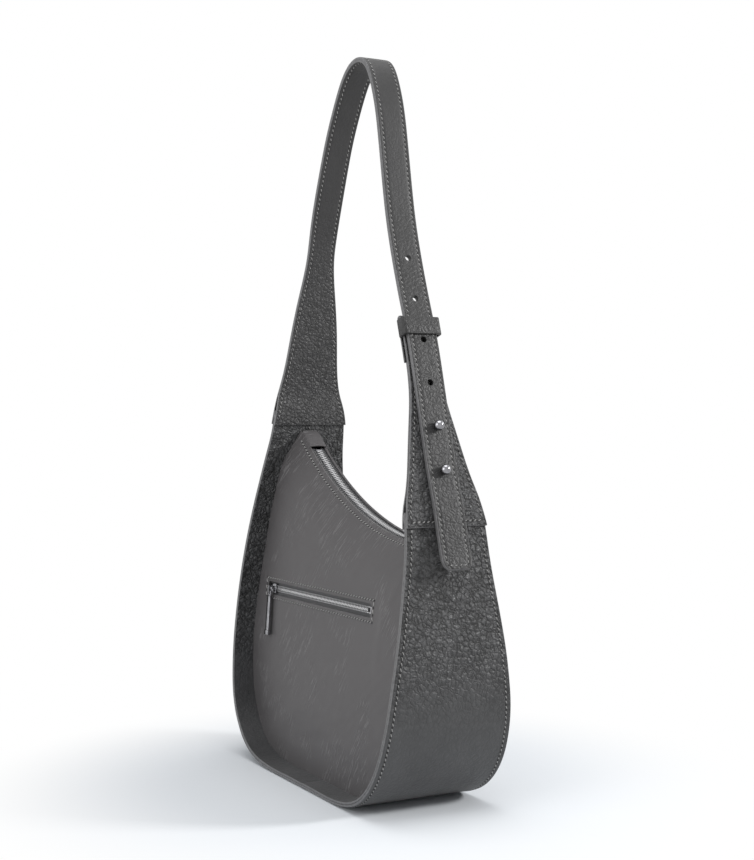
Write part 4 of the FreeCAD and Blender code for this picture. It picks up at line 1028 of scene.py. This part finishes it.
def makePanel(name, nodeName, side):
    shape = PanelShape(nodeName, side)
    top, low, left, right = shape.sides()
    allLengths = [lengthsOf(line) for line in (top, low, left, right)]
    columns, rows = panelSizes["columns"], panelSizes["rows"]
    outlineTree = treeOf(shape.outline)

    def patch(u, v):
        a, b = pointAlong(top, allLengths[0], u), pointAlong(low, allLengths[1], u)
        c, d = pointAlong(left, allLengths[2], v), pointAlong(right, allLengths[3], v)
        return (a * (1 - v) + b * v + c * (1 - u) + d * u
                - top[0] * (1 - u) * (1 - v) - top[-1] * u * (1 - v) - low[0] * (1 - u) * v - low[-1] * u * v)

    def dropOf(place):
        return math.hypot(place.x - arcCentre.x, place.z - arcCentre.z) - shape.radius

    grid = gridObject(name, columns, rows)
    places = []
    for j in range(columns + 1):
        u = j / columns
        column = [patch(u, k / 240) for k in range(241)]
        lengths = lengthsOf(column)
        drops = [dropOf(p) for p in column]
        picked = []
        for wanted in panelSizes["lipDrops"]:
            k = next((k for k in range(240) if drops[k + 1] >= wanted * mm), 239)
            share = (wanted * mm - drops[k]) / max(drops[k + 1] - drops[k], 1e-12)
            picked.append(lengths[k] + (lengths[k + 1] - lengths[k]) * min(max(share, 0.0), 1.0))
        picked[0] = 0.0
        rest = rows + 1 - len(picked)
        last = picked[-1]
        picked += [last + (lengths[-1] - last) * (k + 1) / rest for k in range(rest)]
        places.append([pointAlong(column, lengths, length / lengths[-1]) for length in picked])
    flat = []
    for k in range(rows + 1):
        for j in range(columns + 1):
            place = places[j][k]
            drop = dropOf(place)
            edge = min(1.0, max(0.0, (outlineTree.find(place)[2] - 1.5 * mm) / (panelSizes["calmEdge"] * mm)))
            calm = edge * min(1.0, max(0.0, drop / (14 * mm)))
            if side < 0:
                calm *= calmNearSlot(place.x, place.z)
            lift = wrinkleHeight(place.x, place.z) * calm
            if side < 0:
                lift = clearOfPull(place.x, place.z, lift)
            flat.append(Vector((place.x, side * (shape.outAt(drop) + lift), place.z)))
    for vertex, place in zip(grid.data.vertices, flat):
        vertex.co = place
    facesOut(grid)
    middle = grid.data.polygons[len(grid.data.polygons) // 2]
    if middle.normal.y * side < 0:
        grid.data.flip_normals()
    addModifier(grid, "SOLIDIFY", thickness=panelSizes["thickness"] * mm, offset=-1.0, use_even_offset=False)
    applyAll(grid)
    grid.data.materials.append(materials["smoothLeather"])
    grid.data.materials.append(materials["edgePaint"])
    smoothByAngle(grid, 50)
    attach(grid, "bag")
    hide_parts(nodeName)
    return grid, shape, places


# the outward direction of a panel, a distance below the zip's arc
def panelOut(shape, way, drop):
    slope = (shape.outAt(drop + mm) - shape.outAt(drop - mm)) / (2 * mm)
    return (Vector((0, shape.side, 0)) - way * slope).normalized()


panels = {}
for word, nodeName, side in (("Front", "front_panel", -1), ("Back", "back_panel", 1)):
    panel, shape, places = makePanel("panel" + word, nodeName, side)
    panels[word] = (panel, shape)
    arcPoints, seamNormals = [], []
    drop = panelSizes["seamDrop"] * mm
    for column in places[4:-3]:
        way = column[0] - arcCentre
        way.y = 0
        spot = arcCentre + way.normalized() * (shape.radius + drop)
        spot.y = side * shape.outAt(drop)
        arcPoints.append(spot)
        seamNormals.append(panelOut(shape, way.normalized(), drop))
    stitchRow("openingStitches" + word, arcPoints, seamNormals,
              pitch=panelSizes["pitch"], scale=panelSizes["seamScale"])
print("panels made")


# ---- the cap that joins the two panels at the peak, and the seams beside the zip

capSizes = {
    "above": 2.0, "reach": 25.5, "half": 9.4, "rise": 1.5, "lift": 0.55, "sink": 3.2, "thickness": 1.1,
    "dome": 0.6, "narrow": 0.30, "across": 18, "along": 22, "rim": 0.35,
    "tapeSeam": 4.3, "tapePitch": 3.2, "tapeScale": 0.6, "peakSeam": 7.0, "peakPitch": 3.4,
}


def arcWay(turn):  # turn is measured from straight down, positive to the left
    return Vector((-math.sin(turn), 0, -math.cos(turn)))


frontShape = panels["Front"][1]
peak = max(frontShape.outline, key=lambda p: p.z)
peakTurn = math.atan2(arcCentre.x - peak.x, arcCentre.z - peak.z)


def dropAtWidth(shape, out):
    return lastWhere(lambda drop: shape.outAt(drop) < out, 0.0, 12 * mm, 30)


cap = gridObject("peakCap", capSizes["across"], capSizes["along"])
half = capSizes["half"] * mm
lipOut = frontShape.outAt(0.0)
capPlaces = []
for i in range(capSizes["along"] + 1):
    share = i / capSizes["along"]
    turn = peakTurn + (capSizes["above"] - capSizes["reach"] * share) * mm / frontShape.radius
    dome = capSizes["dome"]
    tip = max(0.0, 1 - ((dome - share) / dome) ** 2) ** 0.5 if share < dome else 1.0
    for j in range(capSizes["across"] + 1):
        y = half * (2 * j / capSizes["across"] - 1) * (capSizes["narrow"] + (1 - capSizes["narrow"]) * tip)
        drop = dropAtWidth(frontShape, abs(y)) if abs(y) > lipOut else 0.0
        arch = capSizes["rise"] * (1 - (y / half) ** 2) * (0.25 + 0.75 * tip) - capSizes["sink"] * (1 - tip)
        away = frontShape.radius + drop - (arch + capSizes["lift"] * tip) * mm
        place = arcCentre + arcWay(turn) * away
        place.y = y
        capPlaces.append(place)
for vertex, place in zip(cap.data.vertices, capPlaces):
    vertex.co = place
facesOut(cap)
if sum(p.normal.z for p in cap.data.polygons) < 0:
    cap.data.flip_normals()
addModifier(cap, "SOLIDIFY", thickness=capSizes["thickness"] * mm, offset=-1.0)
addModifier(cap, "BEVEL", width=capSizes["rim"] * mm, segments=2, limit_method="ANGLE",
            angle_limit=math.radians(50))
applyAll(cap)
smoothByAngle(cap, 60)
cap.data.materials.append(materials["smoothLeather"])
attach(cap, "bag")

zipTurns = [peakTurn - capSizes["reach"] * 0.9 * mm / frontShape.radius]
while zipTurns[-1] > math.radians(-1.4):
    zipTurns.append(zipTurns[-1] - 3 * mm / frontShape.radius)
for word, side in (("Front", -1), ("Back", 1)):
    tape = cadTree("main_zip_tape_" + word.lower())
    found = []
    for turn in zipTurns:
        origin = arcCentre + Vector((0, side * capSizes["tapeSeam"] * mm, 0))
        hit = tape.ray_cast(origin, arcWay(turn))[0]
        if hit is not None:
            found.append((hit - arcWay(turn) * 0.05 * mm, -arcWay(turn)))
    if len(found) > 4:
        stitchRow("zipTapeStitches" + word, *zip(*found),
                  pitch=capSizes["tapePitch"], scale=capSizes["tapeScale"])

# a short seam up the gusset above the peak
facingTree = cadTree("gusset_left_facing")
found = []
for k in range(9):
    z = peak.z + (0.5 + capSizes["peakSeam"] * k / 8) * mm
    hit = facingTree.ray_cast(Vector((0, 0, z)), Vector((-1, 0, 0)))[0]
    if hit is not None:
        found.append((hit, Vector((1, 0, 0))))
if len(found) > 3:
    stitchRow("peakStitches", *zip(*found), pitch=capSizes["peakPitch"])
print("peak cap and zip seams made")


# ---- the pocket's slot, and the stitched frame round it

slotSizes = {"length": 184.0, "height": 11.0, "corner": 2.0, "frame": 3.0, "pitch": 4.4, "seamScale": 1.3}

slotMiddle = (slotLow + slotHigh) / 2
frontPanel = panels["Front"][0]

deselectAll()
bpy.ops.mesh.primitive_cube_add(size=1.0)
slotCutter = bpy.context.object
for vertex in slotCutter.data.vertices:
    vertex.co.x *= slotSizes["length"] * mm
    vertex.co.y *= 40 * mm
    vertex.co.z *= slotSizes["height"] * mm
editing(slotCutter, "EDGE")
bpy.ops.mesh.select_all(action="DESELECT")
done()
for edge in slotCutter.data.edges:
    first, second = (slotCutter.data.vertices[k].co for k in edge.vertices)
    edge.select = abs(first.y - second.y) > 1 * mm
editing(slotCutter, "EDGE")
bpy.ops.mesh.bevel(offset=slotSizes["corner"] * mm, segments=4)
done()
slotCutter.data.transform(Matrix.Translation(slotMiddle))
cutWith(frontPanel, slotCutter)
bpy.data.objects.remove(slotCutter)
smoothByAngle(frontPanel, 50)


def onPanel(shape, x, z):
    reach = Vector((x - arcCentre.x, 0, z - arcCentre.z))
    drop = reach.length - shape.radius
    return Vector((x, shape.side * shape.outAt(drop), z)), panelOut(shape, reach.normalized(), drop)


halfLength = (slotSizes["length"] / 2 + slotSizes["frame"]) * mm
halfHeight = (slotSizes["height"] / 2 + slotSizes["frame"]) * mm
corners = [(-halfLength, halfHeight), (halfLength, halfHeight),
           (halfLength, -halfHeight), (-halfLength, -halfHeight)]
for number, word in enumerate(("Top", "Right", "Low", "Left")):
    first, second = Vector(corners[number]), Vector(corners[(number + 1) % 4])
    steps = 60
    found = [onPanel(frontShape, slotMiddle.x + p.x, slotMiddle.z + p.y)
             for p in (first.lerp(second, k / steps) for k in range(steps + 1))]
    stitchRow("pocketStitches" + word, *zip(*found), pitch=slotSizes["pitch"], scale=slotSizes["seamScale"])
print("pocket slot made")


# ---- metal parts and the keeper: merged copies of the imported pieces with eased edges

def easedCopy(name, nodeNames, body, ease, material, smooth=40, sharp=35):
    pieces = []
    for nodeName in nodeNames:
        copied = bpy.data.objects.new(name, frame["nodes"][nodeName].data.copy())
        bpy.context.scene.collection.objects.link(copied)
        pieces.append(copied)
    deselectAll()
    for piece in pieces:
        piece.select_set(True)
    bpy.context.view_layer.objects.active = pieces[0]
    if len(pieces) > 1:
        bpy.ops.object.join()
    made = pieces[0]
    made.data.name = name
    made.data.materials.clear()
    made.data.materials.append(materials[material])
    editing(made, "EDGE")
    bpy.ops.mesh.select_all(action="SELECT")
    bpy.ops.mesh.remove_doubles(threshold=0.003 * mm)
    bpy.ops.mesh.dissolve_limited(angle_limit=math.radians(1.0))
    bpy.ops.mesh.select_all(action="DESELECT")
    bpy.ops.mesh.edges_select_sharp(sharpness=math.radians(sharp))
    bpy.ops.mesh.bevel(offset=ease * mm, segments=2, clamp_overlap=True)
    done()
    smoothByAngle(made, smooth)
    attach(made, body)
    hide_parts(*nodeNames)
    return made


easedPieces = {
    # name: nodes, body, slot, eased edge in millimetres, finish
    "studs": (["stud_lower", "stud_upper"], "bag", "hardware", 0.12, "chrome"),
    "studScrews": (["stud_screws"], "bag", "hardware", 0.12, "chrome"),
    "mainZipSlider": (["main_zip_slider"], "main_slider", "hardware", 0.22, "chrome"),
    "mainZipPull": (["main_zip_pull"], "main_pull", "hardware", 0.25, "chrome"),
    "pocketZipSlider": (["pocket_zip_slider"], "pocket_slider", "hardware", 0.22, "chrome"),
    "pocketZipBail": (["pocket_zip_bail"], "pocket_bail", "hardware", 0.22, "chrome"),
    "pocketZipPull": (["pocket_zip_pull"], "pocket_pull", "hardware", 0.25, "chrome"),
    "keeperBand": (["keeper"], "bag", "strap_leather", 0.55, "strapLeather"),
}
for name, (nodeNames, body, slot, ease, material) in easedPieces.items():
    easedCopy(name, nodeNames, body, ease, material)
print("metal parts eased")


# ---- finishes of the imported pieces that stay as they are

toothPitch = 2.5 * mm
materials["mainTeeth"] = teethFinish("mainTeeth", toothPitch, arcCentre, frontShape.radius)
materials["pocketTeeth"] = teethFinish("pocketTeeth", toothPitch, slotMiddle, 0.0)
keptFinishes = {
    "mainTeeth": ["main_zip_teeth_front", "main_zip_teeth_back"],
    "pocketTeeth": ["pocket_zip_teeth_lower", "pocket_zip_teeth_upper"],
    "zipMetal": ["main_zip_stops", "pocket_zip_stops"],
    "zipTape": ["main_zip_tape_front", "main_zip_tape_back",
                "pocket_zip_tape_lower", "pocket_zip_tape_upper"],
    "liningCloth": ["lining_front", "lining_back", "lining_gusset", "pocket_bag_front", "pocket_bag_back"],
}
for material, nodeNames in keptFinishes.items():
    for nodeName in nodeNames:
        data = frame["nodes"][nodeName].data
        data.materials.clear()
        data.materials.append(materials[material])


# ---- camera, floor and light

cameraSizes = {"place": (1.07097, -0.55529, 0.300), "turn": 62.0, "lens": 61.4, "shiftY": -0.01744}

bpy.ops.object.camera_add(location=cameraSizes["place"])
camera = bpy.context.object
camera.name = "camera"
camera.rotation_euler = (math.radians(90), 0, math.radians(cameraSizes["turn"]))
camera.data.lens = cameraSizes["lens"]
camera.data.shift_y = cameraSizes["shiftY"]
camera.data.clip_end = 60
bpy.context.scene.camera = camera

stageSizes = {
    # the floor keeps its shadow near the bag and clears to plain white further out
    "floor": 12.0, "gap": 0.0004, "white": (0.72, 0.74, 0.76), "clearFrom": 0.13, "clearTo": 0.34,
    "sky": (0.93, 0.96, 1.0, 1.0), "skyStrength": 0.55,
}

bpy.ops.mesh.primitive_plane_add(size=stageSizes["floor"], location=(0, 0, 0))
floor = bpy.context.object
floor.name = "floor"
floor.data.transform(Matrix.Translation((0, 0, cadBox[0][2] - stageSizes["gap"])))
paint = Finish("floorPaint")
shadowed = paint.node("ShaderNodeBsdfDiffuse", {}, {0: (*stageSizes["white"], 1.0)})
bright = paint.node("ShaderNodeEmission", {}, {0: (1, 1, 1, 1), 1: 1.0})
spread = paint.node("ShaderNodeVectorMath", {"operation": "LENGTH"}, {0: paint.place}, output="Value")
clear = spread.ranged(stageSizes["clearFrom"], stageSizes["clearTo"])
blendNode = paint.node("ShaderNodeMixShader", {}, {0: clear, 1: shadowed, 2: bright})
paint.tree.links.new(blendNode.socket, paint.tree.nodes["Material Output"].inputs[0])
floor.data.materials.append(paint.material)

world = bpy.data.worlds.new("studio")
world.use_nodes = True
bpy.context.scene.world = world
nodes = world.node_tree.nodes
path = nodes.new("ShaderNodeLightPath")
light = nodes["Background"]
light.inputs[0].default_value = stageSizes["sky"]
light.inputs[1].default_value = stageSizes["skyStrength"]
seen = nodes.new("ShaderNodeBackground")
seen.inputs[0].default_value = (1, 1, 1, 1)
seen.inputs[1].default_value = 1.0
either = nodes.new("ShaderNodeMixShader")
white = path.outputs["Is Camera Ray"]
for word in ("Is Glossy Ray", "Is Transmission Ray"):
    both = nodes.new("ShaderNodeMath")
    both.operation = "MAXIMUM"
    world.node_tree.links.new(white, both.inputs[0])
    world.node_tree.links.new(path.outputs[word], both.inputs[1])
    white = both.outputs[0]
world.node_tree.links.new(white, either.inputs[0])
world.node_tree.links.new(light.outputs[0], either.inputs[1])
world.node_tree.links.new(seen.outputs[0], either.inputs[2])
world.node_tree.links.new(either.outputs[0], nodes["World Output"].inputs[0])

lamps = {
    # name: place, size, watts
    "top": ((0.25, -0.10, 1.75), 1.1, 13.0),
    "front": ((0.35, -1.7, 0.75), 1.2, 12.0),
    "side": ((1.00, 1.30, 0.95), 0.32, 22.0),
}
for name, (place, size, watts) in lamps.items():
    bpy.ops.object.light_add(type="AREA", location=place)
    lamp = bpy.context.object
    lamp.name = name + "Lamp"
    lamp.data.size = size
    lamp.data.energy = watts
    lamp.rotation_euler = (Vector((0, 0, 0.25)) - Vector(place)).to_track_quat("-Z", "Y").to_euler()

for model in (threadModel, holeShadeModel):
    bpy.data.objects.remove(model)

bpy.context.view_layer.update()
bpy.context.scene.view_settings.view_transform = "Standard"
